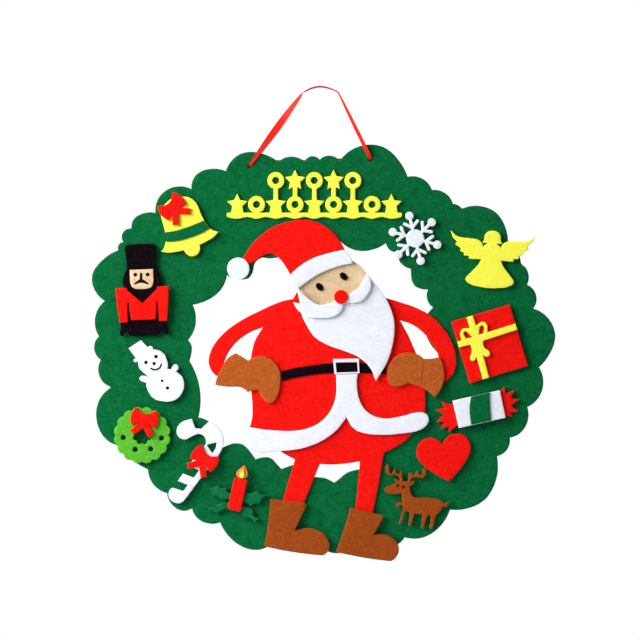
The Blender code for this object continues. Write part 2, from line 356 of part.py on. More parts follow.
REINDEER_SHARES = (
    (-58.9, 7.4), (-57.8, 3.6), (-54, 1.1), (-46.5, 0.4), (-37.3, 1.8), (-30.9, 4.2, 1), (-29.5, -1.6),
    (-27.6, -12.2, 1), (-30.1, -12.2), (-33.6, -12.3), (-36.3, -13.9), (-37.1, -17), (-35.3, -20.3),
    (-32.3, -20.7), (-30.3, -18.3), (-29, -16.2, 1), (-25.3, -18.4, 1), (-25.7, -31.2), (-27.9, -45.4),
    (-27.9, -50.5, 1), (-24.8, -50.4, 1), (-23, -38.6), (-20.1, -25.9, 1), (-17, -26.2),
    (-13.4, -28, 1), (-12.7, -37.8), (-12.9, -49.5, 1), (-9.8, -51.7, 1), (-7.7, -46.5), (-6.7, -36.9),
    (-5.3, -28.2, 1), (7, -28.3, 1), (7.6, -40.7), (8.2, -52.3, 1), (12.3, -52, 1), (13.6, -40.6),
    (15.7, -29.3, 1), (18, -27.9), (21, -28.4, 1), (21.5, -39.4), (21.5, -50.6, 1), (26.2, -50.6, 1),
    (27.8, -38.4), (29.8, -25.2), (34.3, -19.7), (37, -12.8), (38.6, -8.7, 1), (43.8, -8.3), (45.9, -5),
    (47.7, 1.1, 1), (43.8, -0.7), (39.2, -3, 1), (33.7, 0.5), (27.2, 2.9), (19.3, 3.4), (4.8, 1.6),
    (-8.3, 0.4), (-13.3, 3.1), (-16.7, 8.1), (-18.5, 13.9), (-19.1, 18.8, 1), (-14.4, 23.3),
    (-13, 29.8, 1), (-16.5, 28, 1), (-19.4, 27.6, 1), (-19.1, 31.1), (-16.5, 34.4), (-8.9, 35.7),
    (-0.5, 36.5), (3.1, 41.6), (3.3, 50.1), (0.1, 54.7), (-1.9, 51.8), (-2.3, 43.6), (-5.5, 40.8, 1),
    (-10.9, 48.3, 1), (-15.1, 39.4, 1), (-16.9, 39.5, 1), (-19.5, 42.9), (-22.5, 42.3), (-23.6, 37.3),
    (-23.2, 27.1, 1), (-31.8, 25.6, 1), (-33, 34.1), (-34.2, 39.7), (-37, 43.3), (-39, 38.6),
    (-41.2, 36.9, 1), (-47.6, 46.3, 1), (-50.6, 36.3, 1), (-53.8, 37.2), (-55.7, 43.5), (-56.9, 49.3),
    (-59.4, 51.9), (-61.6, 48.6), (-61.7, 41.7), (-58.8, 35.7), (-53.8, 33.2), (-43.8, 34.5),
    (-39.1, 32.1), (-35.9, 25.9, 1), (-40.9, 27, 1), (-45.5, 28.5, 1), (-41.9, 20.9, 1), (-49.2, 16.5),
    (-55.6, 12))

GARLAND_COLUMNS = 9
GARLAND_TALL_COLUMNS = 5
GARLAND_BAR_SHARES = (0, 3.6, 12.5)
GARLAND_END_SHARE = 5.3
GARLAND_HOLE_SHARES = (18.5, 7.3)
GARLAND_ROW_SHARES = (29.2, 78.1)
STAR_SHARES = ((31.8, 12.5, 1), (26.5, 25.8, 1), (52.9, 35.9, 1), (16.4, 38, 1), (0, 51, 1))
RING_SHARES = ((11.9, 12.5, 1), (43.7, 29.2), (0, 46.4))
STAR_UNDER_RING_SHARES = (
    (31.8, 12.5, 1), (26.5, 25.8, 1), (52.9, 35.9, 1), (16.4, 38, 1), (11.9, 41.6, 1), (11.9, 61.6, 1),
    (43.7, 78.1), (0, 95.3))
RING_UNDER_STAR_SHARES = (
    (11.9, 12.5, 1), (43.7, 29.2), (11.9, 45.7, 1), (11.9, 64.7, 1), (32.6, 60.4, 1), (26.5, 74.8, 1),
    (52.9, 84.9, 1), (16.4, 87, 1), (0, 100, 1))

SQUARE_SHARES = ((-50, -50, 1), (50, -50, 1), (50, 50, 1), (-50, 50, 1))

# Places of the hook dots that aren't behind an ornament's middle
SNOWMAN_DOT_SHARE = (3, -20)
SMALL_WREATH_DOT_SHARE = (0, -33)
CANDLE_DOT_SHARE = (-3, -9)
REINDEER_DOT_SHARE = (5, -13)

# Middles of the garland and the ornaments in the photograph
GARLAND_SPOT_PIXELS = (314.5, 194.4)
BELL_SPOT_PIXELS = (184.9, 226.7)
SOLDIER_SPOT_PIXELS = (142.6, 290.4)
SNOWMAN_SPOT_PIXELS = (154.5, 368.5)
SMALL_WREATH_SPOT_PIXELS = (142.5, 435.0)
CANE_SPOT_PIXELS = (194.0, 452.0)
CANDLE_SPOT_PIXELS = (238.0, 501.0)
SNOWFLAKE_SPOT_PIXELS = (415.0, 238.5)
ANGEL_SPOT_PIXELS = (491.0, 259.5)
GIFT_SPOT_PIXELS = (489.4, 343.8)
CANDY_SPOT_PIXELS = (476.5, 409.5)
HEART_SPOT_PIXELS = (444.8, 458.0)
REINDEER_SPOT_PIXELS = (420.0, 498.0)


def spot(pixels):
    """The place of a pixel in metres right of and above the hook."""
    return ((pixels[0] - HOOK_PIXELS[0]) * PIXEL, (HOOK_PIXELS[1] - pixels[1]) * PIXEL)


def on_board(points):
    """An outline given in pixels, at the board's scale."""
    return [spot(point) + tuple(point[2:]) for point in points]


def on_figure(points):
    """An outline given in pixels, at the figure's scale, about the figure's middle."""
    middle_x, middle_z = spot(FIGURE_MIDDLE_PIXELS)
    return [
        (
            middle_x + (point[0] - FIGURE_MIDDLE_PIXELS[0]) * FIGURE_PIXEL,
            middle_z + (FIGURE_MIDDLE_PIXELS[1] - point[1]) * FIGURE_PIXEL,
        )
        + tuple(point[2:])
        for point in points
    ]


def sized(shares, width, height):
    """An outline given in hundredths of a width and a height."""
    return [
        (point[0] * HUNDREDTH * width, point[1] * HUNDREDTH * height) + tuple(point[2:])
        for point in shares
    ]


def both_sides(half):
    """A whole outline from its right half, which starts and ends on the middle line."""
    mirrored = [(-point[0],) + tuple(point[1:]) for point in reversed(half) if point[0] != 0]
    return list(half) + mirrored


def turned(points, angle, place=(0, 0)):
    """An outline turned anticlockwise by an angle in degrees and moved to a place."""
    cosine = math.cos(math.radians(angle))
    sine = math.sin(math.radians(angle))
    return [
        (
            place[0] + point[0] * cosine - point[1] * sine,
            place[1] + point[0] * sine + point[1] * cosine,
        )
        + tuple(point[2:])
        for point in points
    ]


def circle(radius, place=(0, 0), slimness=1):
    """Four smooth points of a round outline, or of an oval one that is narrower by slimness."""
    angles = [FIRST_CIRCLE_ANGLE + math.pi * quarter / 2 for quarter in range(4)]
    return [
        (place[0] + radius * slimness * math.cos(angle), place[1] + radius * math.sin(angle))
        for angle in angles
    ]


def lobes(count, peak, valley):
    """A ring of round lobes: a corner in each valley and a smooth point on each peak."""
    points = []
    for step in range(2 * count):
        angle = math.pi * step / count
        radius = peak if step % 2 else valley
        corner = () if step % 2 else (CORNER,)
        points.append((radius * math.cos(angle), radius * math.sin(angle)) + corner)
    return points


def circle_direction(before, at, after):
    """The direction at the middle one of three points of the round bend through them."""
    first = at - before
    second = after - at
    swing = math.atan2(first.x * second.y - first.y * second.x, first.dot(second))
    angle = math.atan2(first.y, first.x) + swing * first.length / (first.length + second.length)
    return Vector((math.cos(angle), math.sin(angle)))


def bend(start, start_direction, end, end_direction):
    """Points of a smooth bend from a start to just before its end.

    There are enough of them that no chord turns by more than COARSEST_TURN or lies further than
    OUTLINE_SAG from the bend, whose own depth is about an eighth of its chord times its turn.
    """
    chord = end - start
    turn = chord.angle(start_direction) + chord.angle(end_direction)
    depth = chord.length * turn / 8
    steps = max(1, round(turn / COARSEST_TURN), round(math.sqrt(depth / OUTLINE_SAG)))
    reach = chord.length / (3 * math.cos(min(turn, math.pi) / 4) ** 2)
    controls = (start, start + start_direction * reach, end - end_direction * reach, end)
    points = []
    for step in range(steps):
        t = step / steps
        weights = ((1 - t) ** 3, 3 * t * (1 - t) ** 2, 3 * t * t * (1 - t), t ** 3)
        points.append(sum((control * weight for control, weight in zip(controls, weights)), Vector((0, 0))))
    return points


def drawn(points):
    """The closed polygon of an outline: smooth between its corners, straight where two corners meet."""
    marks = [len(point) > 2 for point in points]
    places = [Vector(point[:2]) for point in points]
    if marks[0] and (places[0] - places[-1]).length == 0:
        marks.pop()
        places.pop()
    count = len(places)
    polygon = []
    for index in range(count):
        here, there = places[index], places[(index + 1) % count]
        if marks[index] and marks[(index + 1) % count]:
            polygon.append(here)
            continue
        before, beyond = places[index - 1], places[(index + 2) % count]
        end_direction = circle_direction(here, there, beyond)
        start_direction = circle_direction(before, here, there)
        chord = (there - here).normalized()
        if marks[index]:
            start_direction = end_direction.reflect(chord.orthogonal().normalized())
        if marks[(index + 1) % count]:
            end_direction = start_direction.reflect(chord.orthogonal().normalized())
        polygon += bend(here, start_direction, there, end_direction)
    return polygon


def coloured(item, colour, roughness):
    """The piece's own material."""
    material = bpy.data.materials.new(item.name)
    material.use_nodes = True
    shader = material.node_tree.nodes["Principled BSDF"]
    shader.inputs["Base Color"].default_value = colour + (1,)
    shader.inputs["Roughness"].default_value = roughness
    shader.inputs["Metallic"].default_value = 0
    material.diffuse_color = colour + (1,)
    item.data.materials.append(material)


def plate(name, outline, colour, layer, thickness=FELT_THICKNESS, holes=(), parent=None):
    """A piece cut from flat felt: its outline and holes, with its back on a layer."""
    curve = bpy.data.curves.new(name, "CURVE")
    curve.dimensions = "2D"
    curve.fill_mode = "BOTH"
    curve.extrude = thickness / 2
    for loop in (outline,) + tuple(holes):
        polygon = drawn(loop)
        spline = curve.splines.new("POLY")
        spline.points.add(len(polygon) - 1)
        for place, target in zip(polygon, spline.points):
            target.co = (place.x, place.y, 0, 1)
        spline.use_cyclic_u = True
    item = bpy.data.objects.new(name, curve)
    parts.objects.link(item)
    item.rotation_euler.x = math.radians(90)
    item.location.y = -(layer + thickness / 2)
    item.parent = parent
    coloured(item, colour, FELT_ROUGHNESS)
    return item


def strip(name, stations, colour, thickness):
    """A ribbon: a lengthwise sheet through stations of middle point, width and direction across."""
    mesh = bpy.data.meshes.new(name)
    sheet = bmesh.new()
    rows = []
    for middle, width, across in stations:
        half = across.normalized() * width / 2
        rows.append((sheet.verts.new(middle - half), sheet.verts.new(middle + half)))
    for low, high in zip(rows, rows[1:]):
        sheet.faces.new((low[0], low[1], high[1], high[0]))
    sheet.to_mesh(mesh)
    sheet.free()
    item = bpy.data.objects.new(name, mesh)
    parts.objects.link(item)
    wall = item.modifiers.new("thickness", "SOLIDIFY")
    wall.thickness = thickness
    wall.offset = 0
    coloured(item, colour, SATIN_ROUGHNESS)
    return item


def ornament(name, pixels, tilt):
    """The empty that an ornament's pieces hang from, at its middle, turned as it is stuck on."""
    holder = bpy.data.objects.new(name, None)
    parts.objects.link(holder)
    x, z = spot(pixels)
    holder.location = (x, 0, z)
    holder.rotation_euler.y = -math.radians(tilt)
    return holder


def hook_dot(name, holder, place, radius=DOT_RADIUS):
    """The round of hook tape on an ornament's back."""
    plate(name, circle(radius, place), HOOK_GREY, FIRST_LAYER, HOOK_THICKNESS, parent=holder)


def bow(name, holder, place, tilt):
    """A red felt bow on an ornament."""
    outline = turned(sized(both_sides(BOW_SHARES), BOW_WIDTH, BOW_HEIGHT), tilt, place)
    plate(name, outline, RED, ORNAMENT_TOP_LAYER, parent=holder)


def make_board():
    """The ring: one sheet of stiff felt with its opening and the ribbon's two holes."""
    holes = [on_board(BOARD_OPENING_PIXELS)]
    holes += [circle(RIBBON_HOLE_RADIUS, spot(pixels)) for pixels in RIBBON_HOLES_PIXELS]
    plate("wreath_board", on_board(BOARD_EDGE_PIXELS), GREEN, -BOARD_THICKNESS / 2, BOARD_THICKNESS, holes)


def smooth_stations(route, steps=2):
    """Stations of a ribbon on a smooth curve through its route: middle, width and direction across.

    A route's row is a point in metres, a width as a share of the ribbon's, and the angle in
    degrees by which the ribbon's face turns away from the viewer.
    """
    rows = [Vector(row) for row in route]
    stations = []
    for index in range(len(rows) - 1):
        first, second = rows[index], rows[index + 1]
        before = rows[max(index - 1, 0)]
        beyond = rows[min(index + 2, len(rows) - 1)]
        count = steps + (index == len(rows) - 2)
        for step in range(count):
            t = step / steps
            place = 0.5 * (
                2 * first + (second - before) * t + (2 * before - 5 * first + 4 * second - beyond) * t ** 2
                + (3 * first - before - 3 * second + beyond) * t ** 3
            )
            stations.append(place)
    ends = stations[:1] + stations + stations[-1:]
    result = []
    for place, before, beyond in zip(stations, ends, ends[2:]):
        inward = Vector((beyond[2] - before[2], 0, before[0] - beyond[0])).normalized()
        turn = math.radians(place[4])
        across = math.cos(turn) * inward - math.sin(turn) * Vector((0, 1, 0))
        result.append((Vector(place[:3]), place[3] * RIBBON_WIDTH, across))
    return result


def make_ribbon():
    """The hanging ribbon: a loop over the hook in front, a straight run and a knot behind."""
    strip("ribbon_front", smooth_stations(RIBBON_FRONT_ROUTE), RED, RIBBON_THICKNESS)
    strip("ribbon_back", smooth_stations(RIBBON_BACK_ROUTE), RED, RIBBON_THICKNESS)
    mesh = bpy.data.meshes.new("ribbon_knot")
    lump = bmesh.new()
    bmesh.ops.create_uvsphere(lump, u_segments=12, v_segments=8, radius=1)
    bmesh.ops.scale(lump, vec=(KNOT_WIDTH / 2, KNOT_THICKNESS / 2, KNOT_HEIGHT / 2), verts=lump.verts)
    lump.to_mesh(mesh)
    lump.free()
    mesh.shade_smooth()
    knot = bpy.data.objects.new("ribbon_knot", mesh)
    parts.objects.link(knot)
    knot.location = RIBBON_BACK_ROUTE[KNOT_ROW][:3]
    knot.location.y += RIBBON_THICKNESS / 2 + SEAM_GAP + KNOT_THICKNESS / 2
    coloured(knot, RED, SATIN_ROUGHNESS)


def make_figure():
    """The figure: flat felts that meet edge to edge under the trims which hide their seams."""
    first = (
        ("trousers", TROUSERS_PIXELS, RED),
        ("face", FACE_PIXELS, BEIGE),
        ("hat", HAT_PIXELS, RED),
    )
    for name, points, colour in first:
        plate(name, on_figure(points), colour, FIRST_LAYER)
    arm_holes = [on_figure(LEFT_ARM_HOLE_PIXELS), on_figure(RIGHT_ARM_HOLE_PIXELS)]
    plate("coat", on_figure(COAT_PIXELS), RED, FIRST_LAYER, holes=arm_holes)
    second = (
        ("hat_band", HAT_BAND_PIXELS, WHITE),
        ("hat_pompom", POMPOM_PIXELS, WHITE),
        ("coat_trim", COAT_TRIM_PIXELS, WHITE),
        ("left_mitten", LEFT_MITTEN_PIXELS, BROWN),
        ("right_mitten", RIGHT_MITTEN_PIXELS, BROWN),
        ("left_boot", LEFT_BOOT_PIXELS, BROWN),
        ("right_boot", RIGHT_BOOT_PIXELS, BROWN),
    )
    for name, points, colour in second:
        plate(name, on_figure(points), colour, SECOND_LAYER)
    plate("belt", on_figure(BELT_PIXELS), BLACK, SECOND_LAYER, THIN_FELT_THICKNESS)
    window = [on_figure(BUCKLE_WINDOW_PIXELS)]
    plate("buckle", on_figure(BUCKLE_PIXELS), WHITE, BEARD_LAYER, THIN_FELT_THICKNESS, window)
    plate("beard", on_figure(BEARD_PIXELS), WHITE, BEARD_LAYER)
    plate("left_moustache", on_figure(LEFT_MOUSTACHE_PIXELS), WHITE, MOUSTACHE_LAYER)
    plate("right_moustache", on_figure(RIGHT_MOUSTACHE_PIXELS), WHITE, MOUSTACHE_LAYER)
    for name, place in zip(("left_eye", "right_eye"), on_figure(EYES_PIXELS)):
        oval = turned(circle(EYE_RADIUS, slimness=EYE_SLIMNESS_SHARE), EYE_TILT, place)
        plate(name, oval, BLACK, SECOND_LAYER, THIN_FELT_THICKNESS)
    plate("nose", circle(NOSE_RADIUS, on_figure([NOSE_PIXELS])[0]), RED, NOSE_LAYER, THIN_FELT_THICKNESS)


def make_garland():
    """The glued garland: stars and rings that stand on a scalloped bar, taller in the middle.

    Its shares are hundredths of one column's width and of the garland's height.
    """
    pitch = GARLAND_WIDTH / (GARLAND_COLUMNS + 2 * GARLAND_END_SHARE * HUNDREDTH)
    lowest, valley, top = (share * HUNDREDTH * GARLAND_HEIGHT for share in GARLAND_BAR_SHARES)
    hole_size = sized([GARLAND_HOLE_SHARES], pitch, GARLAND_HEIGHT)[0]
    middle = spot(GARLAND_SPOT_PIXELS)
    reach = GARLAND_COLUMNS // 2
    side = (reach + 0.5) * pitch
    outline = []
    for column in range(-reach, reach + 1):
        outline += [((column - 0.5) * pitch, valley, CORNER), (column * pitch, lowest)]
    outline += [(side, valley, CORNER), (GARLAND_WIDTH / 2, (valley + top) / 2), (side, top, CORNER)]
    holes = []
    for column in range(reach, -reach - 1, -1):
        tall = abs(column) <= GARLAND_TALL_COLUMNS // 2
        ring_below = column % 2
        if tall:
            shares = RING_UNDER_STAR_SHARES if ring_below else STAR_UNDER_RING_SHARES
        else:
            shares = RING_SHARES if ring_below else STAR_SHARES
        profile = both_sides(sized(shares, pitch, GARLAND_HEIGHT))
        outline += turned(profile, 0, (column * pitch, 0))
        for row, height_share in enumerate(GARLAND_ROW_SHARES):
            if ring_below == (row == 0) and (row == 0 or tall):
                centre = (column * pitch, height_share * HUNDREDTH * GARLAND_HEIGHT)
                holes.append(turned(sized(circle(1 / HUNDREDTH), *hole_size), 0, centre))
    outline += [(-side, top, CORNER), (-GARLAND_WIDTH / 2, (valley + top) / 2)]
    place = (middle[0], middle[1] - GARLAND_HEIGHT / 2)
    holes = [turned(hole, 0, place) for hole in holes]
    plate("garland", turned(outline, 0, place), YELLOW, FIRST_LAYER, holes=holes)


def make_bell():
    """A bell cut with its clapper, a green band across it and a bow."""
    holder = ornament("bell_holder", BELL_SPOT_PIXELS, BELL_TILT)
    plate("bell_body", sized(both_sides(BELL_SHARES), BELL_WIDTH, BELL_HEIGHT), YELLOW, ORNAMENT_LAYER,
          parent=holder)
    plate("bell_band", sized(BELL_BAND_SHARES, BELL_WIDTH, BELL_HEIGHT), GREEN, ORNAMENT_TOP_LAYER,
          THIN_FELT_THICKNESS, parent=holder)
    place = sized([BELL_BOW_SPOT_SHARE], BELL_WIDTH, BELL_HEIGHT)[0]
    bow("bell_bow", holder, place, BELL_BOW_TILT)
    hook_dot("bell_hook_dot", holder, (0, 0))


def make_soldier():
    """A toy soldier: black base with a tall hat, face, and a jacket with loose sleeves."""
    holder = ornament("soldier_holder", SOLDIER_SPOT_PIXELS, SOLDIER_TILT)
    size = (SOLDIER_WIDTH, SOLDIER_HEIGHT)
    plate("soldier_base", sized(both_sides(SOLDIER_BASE_SHARES), *size), BLACK, ORNAMENT_LAYER,
          parent=holder)
    plate("soldier_face", sized(both_sides(SOLDIER_FACE_SHARES), *size), BEIGE, ORNAMENT_TOP_LAYER,
          THIN_FELT_THICKNESS, parent=holder)
    plate("soldier_jacket", sized(both_sides(SOLDIER_JACKET_SHARES), *size), RED, ORNAMENT_TOP_LAYER,
          parent=holder)
    hook_dot("soldier_hook_dot", holder, (0, 0))


def make_snowman():
    """A snowman cut whole, with its hat and arms."""
    holder = ornament("snowman_holder", SNOWMAN_SPOT_PIXELS, SNOWMAN_TILT)
    size = (SNOWMAN_WIDTH, SNOWMAN_HEIGHT)
    plate("snowman", sized(SNOWMAN_SHARES, *size), WHITE, ORNAMENT_LAYER, parent=holder)
    hook_dot("snowman_hook_dot", holder, sized([SNOWMAN_DOT_SHARE], *size)[0])


def make_small_wreath():
    """A small wreath: round lobes outside and inside, four punched holes and a bow."""
    holder = ornament("small_wreath_holder", SMALL_WREATH_SPOT_PIXELS, SMALL_WREATH_TILT)
    width = SMALL_WREATH_WIDTH
    edge = lobes(SMALL_WREATH_LOBES, width / 2, SMALL_WREATH_VALLEY_SHARE * HUNDREDTH * width)
    valley, peak = (share * HUNDREDTH * width for share in SMALL_WREATH_OPENING_SHARES)
    holes = [lobes(SMALL_WREATH_OPENING_LOBES, peak, valley)]
    holes += [circle(SMALL_WREATH_HOLE_SHARE * HUNDREDTH * width, place)
              for place in sized(SMALL_WREATH_HOLES_SHARES, width, width)]
    plate("small_wreath_ring", edge, LIME, ORNAMENT_LAYER, holes=holes, parent=holder)
    place = sized([SMALL_WREATH_BOW_SPOT_SHARE], width, width)[0]
    bow("small_wreath_bow", holder, place, SMALL_WREATH_BOW_TILT)
    place = sized([SMALL_WREATH_DOT_SHARE], width, width)[0]
    hook_dot("small_wreath_hook_dot", holder, place, SMALL_DOT_RADIUS)


def make_cane():
    """A sweet cane whose stripes are cut out, with a bow on its shaft."""
    holder = ornament("cane_holder", CANE_SPOT_PIXELS, CANE_TILT)
    size = (CANE_WIDTH, CANE_HEIGHT)
    window = [sized(CANE_WINDOW_SHARES, *size)]
    plate("cane", sized(CANE_SHARES, *size), WHITE, ORNAMENT_LAYER, holes=window, parent=holder)
    place = sized([CANE_BOW_SPOT_SHARE], *size)[0]
    bow("cane_bow", holder, place, CANE_BOW_TILT)
    hook_dot("cane_hook_dot", holder, place, SMALL_DOT_RADIUS)


def make_candle():
    """A candle with a flame of two felts, in front of four holly leaves cut as one."""
    holder = ornament("candle_holder", CANDLE_SPOT_PIXELS, CANDLE_TILT)
    size = (CANDLE_WIDTH, CANDLE_HEIGHT)
    plate("holly", sized(HOLLY_SHARES, *size), GREEN, ORNAMENT_LAYER, parent=holder)
    plate("candle", sized(CANDLE_SHARES, *size), RED, ORNAMENT_TOP_LAYER, parent=holder)
    plate("flame_outer", sized(FLAME_SHARES, *size), ORANGE, ORNAMENT_TOP_LAYER, parent=holder)
    plate("flame_inner", sized(FLAME_HEART_SHARES, *size), YELLOW, ORNAMENT_CREST_LAYER,
          THIN_FELT_THICKNESS, parent=holder)
    hook_dot("candle_hook_dot", holder, sized([CANDLE_DOT_SHARE], *size)[0], SMALL_DOT_RADIUS)


def make_snowflake():
    """A snowflake: a round hub and six arms, each with two twigs and a ball."""
    holder = ornament("snowflake_holder", SNOWFLAKE_SPOT_PIXELS, SNOWFLAKE_TILT)
    inner = [(share[0], -share[1]) + tuple(share[2:]) for share in SNOWFLAKE_ARM_SHARES[:-1]]
    arm = inner + list(reversed(SNOWFLAKE_ARM_SHARES))
    outline = []
    for index in range(SNOWFLAKE_ARMS):
        angle = 360 * index / SNOWFLAKE_ARMS
        outline += turned(sized(arm, SNOWFLAKE_WIDTH, SNOWFLAKE_WIDTH), angle)
        hub = (SNOWFLAKE_HUB_SHARE * HUNDREDTH * SNOWFLAKE_WIDTH, 0)
        outline += turned([hub], angle + 180 / SNOWFLAKE_ARMS)
    plate("snowflake", outline, WHITE, ORNAMENT_LAYER, parent=holder)
    hook_dot("snowflake_hook_dot", holder, (0, 0), SMALL_DOT_RADIUS)


def make_angel():
    """An angel cut whole, with its wings and gown."""
    holder = ornament("angel_holder", ANGEL_SPOT_PIXELS, ANGEL_TILT)
    plate("angel", sized(both_sides(ANGEL_SHARES), ANGEL_WIDTH, ANGEL_HEIGHT), YELLOW, ORNAMENT_LAYER,
          parent=holder)
    hook_dot("angel_hook_dot", holder, (0, 0))


def make_gift():
    """A gift box with a ribbon and bow cut from one piece of felt."""
    holder = ornament("gift_holder", GIFT_SPOT_PIXELS, GIFT_TILT)
    size = (GIFT_WIDTH, GIFT_HEIGHT)
    plate("gift_box", sized(SQUARE_SHARES, *size), RED, ORNAMENT_LAYER, parent=holder)
    loops = [sized(GIFT_LEFT_LOOP_SHARES, *size), sized(GIFT_RIGHT_LOOP_SHARES, *size)]
    plate("gift_ribbon", sized(GIFT_RIBBON_SHARES, *size), YELLOW, ORNAMENT_TOP_LAYER, holes=loops,
          parent=holder)
    hook_dot("gift_hook_dot", holder, (0, 0))


def make_candy():
    """A wrapped sweet: twisted ends cut as one piece behind a wrapper with a slanting stripe."""
    holder = ornament("candy_holder", CANDY_SPOT_PIXELS, CANDY_TILT)
    size = (CANDY_WIDTH, CANDY_HEIGHT)
    plate("candy_ends", sized(CANDY_ENDS_SHARES, *size), RED, ORNAMENT_LAYER, parent=holder)
    plate("candy_wrapper", sized(CANDY_WRAPPER_SHARES, *size), WHITE, ORNAMENT_TOP_LAYER, parent=holder)
    plate("candy_stripe", sized(CANDY_STRIPE_SHARES, *size), GREEN, ORNAMENT_CREST_LAYER,
          THIN_FELT_THICKNESS, parent=holder)
    hook_dot("candy_hook_dot", holder, (0, 0))


def make_heart():
    """A plain heart."""
    holder = ornament("heart_holder", HEART_SPOT_PIXELS, HEART_TILT)
    plate("heart", sized(both_sides(HEART_SHARES), HEART_WIDTH, HEART_HEIGHT), RED, ORNAMENT_LAYER,
          parent=holder)
    hook_dot("heart_hook_dot", holder, (0, 0))


def make_reindeer():
    """A reindeer cut whole, with its antlers."""
    holder = ornament("reindeer_holder", REINDEER_SPOT_PIXELS, REINDEER_TILT)
    size = (REINDEER_WIDTH, REINDEER_HEIGHT)
    plate("reindeer", sized(REINDEER_SHARES, *size), BROWN, ORNAMENT_LAYER, parent=holder)
    hook_dot("reindeer_hook_dot", holder, sized([REINDEER_DOT_SHARE], *size)[0])


for old in list(bpy.data.objects):
    bpy.data.objects.remove(old)
parts = bpy.data.collections.new("felt_wreath")
bpy.context.scene.collection.children.link(parts)

make_board()
make_ribbon()
make_figure()
make_garland()
make_bell()
make_soldier()
make_snowman()
make_small_wreath()
make_cane()
make_candle()
make_snowflake()
make_angel()
make_gift()
make_candy()
make_heart()
make_reindeer()
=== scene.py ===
import json
import math

import bmesh
import bpy
import numpy as np
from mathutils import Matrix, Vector, geometry

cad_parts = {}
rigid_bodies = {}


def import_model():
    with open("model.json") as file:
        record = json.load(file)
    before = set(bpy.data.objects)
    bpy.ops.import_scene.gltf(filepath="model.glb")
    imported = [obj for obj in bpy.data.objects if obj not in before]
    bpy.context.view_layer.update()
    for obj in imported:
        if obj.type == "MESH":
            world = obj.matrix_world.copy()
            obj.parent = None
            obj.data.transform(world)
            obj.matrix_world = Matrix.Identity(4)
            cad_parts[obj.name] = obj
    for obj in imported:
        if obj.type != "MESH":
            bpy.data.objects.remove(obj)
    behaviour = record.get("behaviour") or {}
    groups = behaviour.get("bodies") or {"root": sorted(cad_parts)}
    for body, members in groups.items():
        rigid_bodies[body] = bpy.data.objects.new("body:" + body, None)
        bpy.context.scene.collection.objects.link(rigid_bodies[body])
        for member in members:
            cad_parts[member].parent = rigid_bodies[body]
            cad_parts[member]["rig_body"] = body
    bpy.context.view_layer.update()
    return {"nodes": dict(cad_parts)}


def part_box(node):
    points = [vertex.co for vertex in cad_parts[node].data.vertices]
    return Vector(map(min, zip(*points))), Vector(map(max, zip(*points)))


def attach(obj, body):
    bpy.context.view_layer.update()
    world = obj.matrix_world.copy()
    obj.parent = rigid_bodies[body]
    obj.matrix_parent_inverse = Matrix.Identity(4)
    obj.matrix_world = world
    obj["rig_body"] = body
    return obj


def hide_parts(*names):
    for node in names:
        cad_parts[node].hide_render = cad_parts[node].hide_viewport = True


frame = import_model()


# Camera. The hanging was photographed square-on, level with the middle of the picture and from
# far enough off that the layers of felt hardly shift against each other.
PICTURE_WIDTH = 0.8287
CAMERA_DISTANCE = 3.2
CAMERA_HEIGHT = -0.3014
camera_data = bpy.data.cameras.new("camera")
camera_data.lens = camera_data.sensor_width * CAMERA_DISTANCE / PICTURE_WIDTH
camera = bpy.data.objects.new("camera", camera_data)
camera.location = (0, -CAMERA_DISTANCE, CAMERA_HEIGHT)
camera.rotation_euler = (math.pi / 2, 0, 0)
bpy.context.scene.collection.objects.link(camera)
bpy.context.scene.camera = camera
bpy.context.scene.view_settings.view_transform = "Standard"


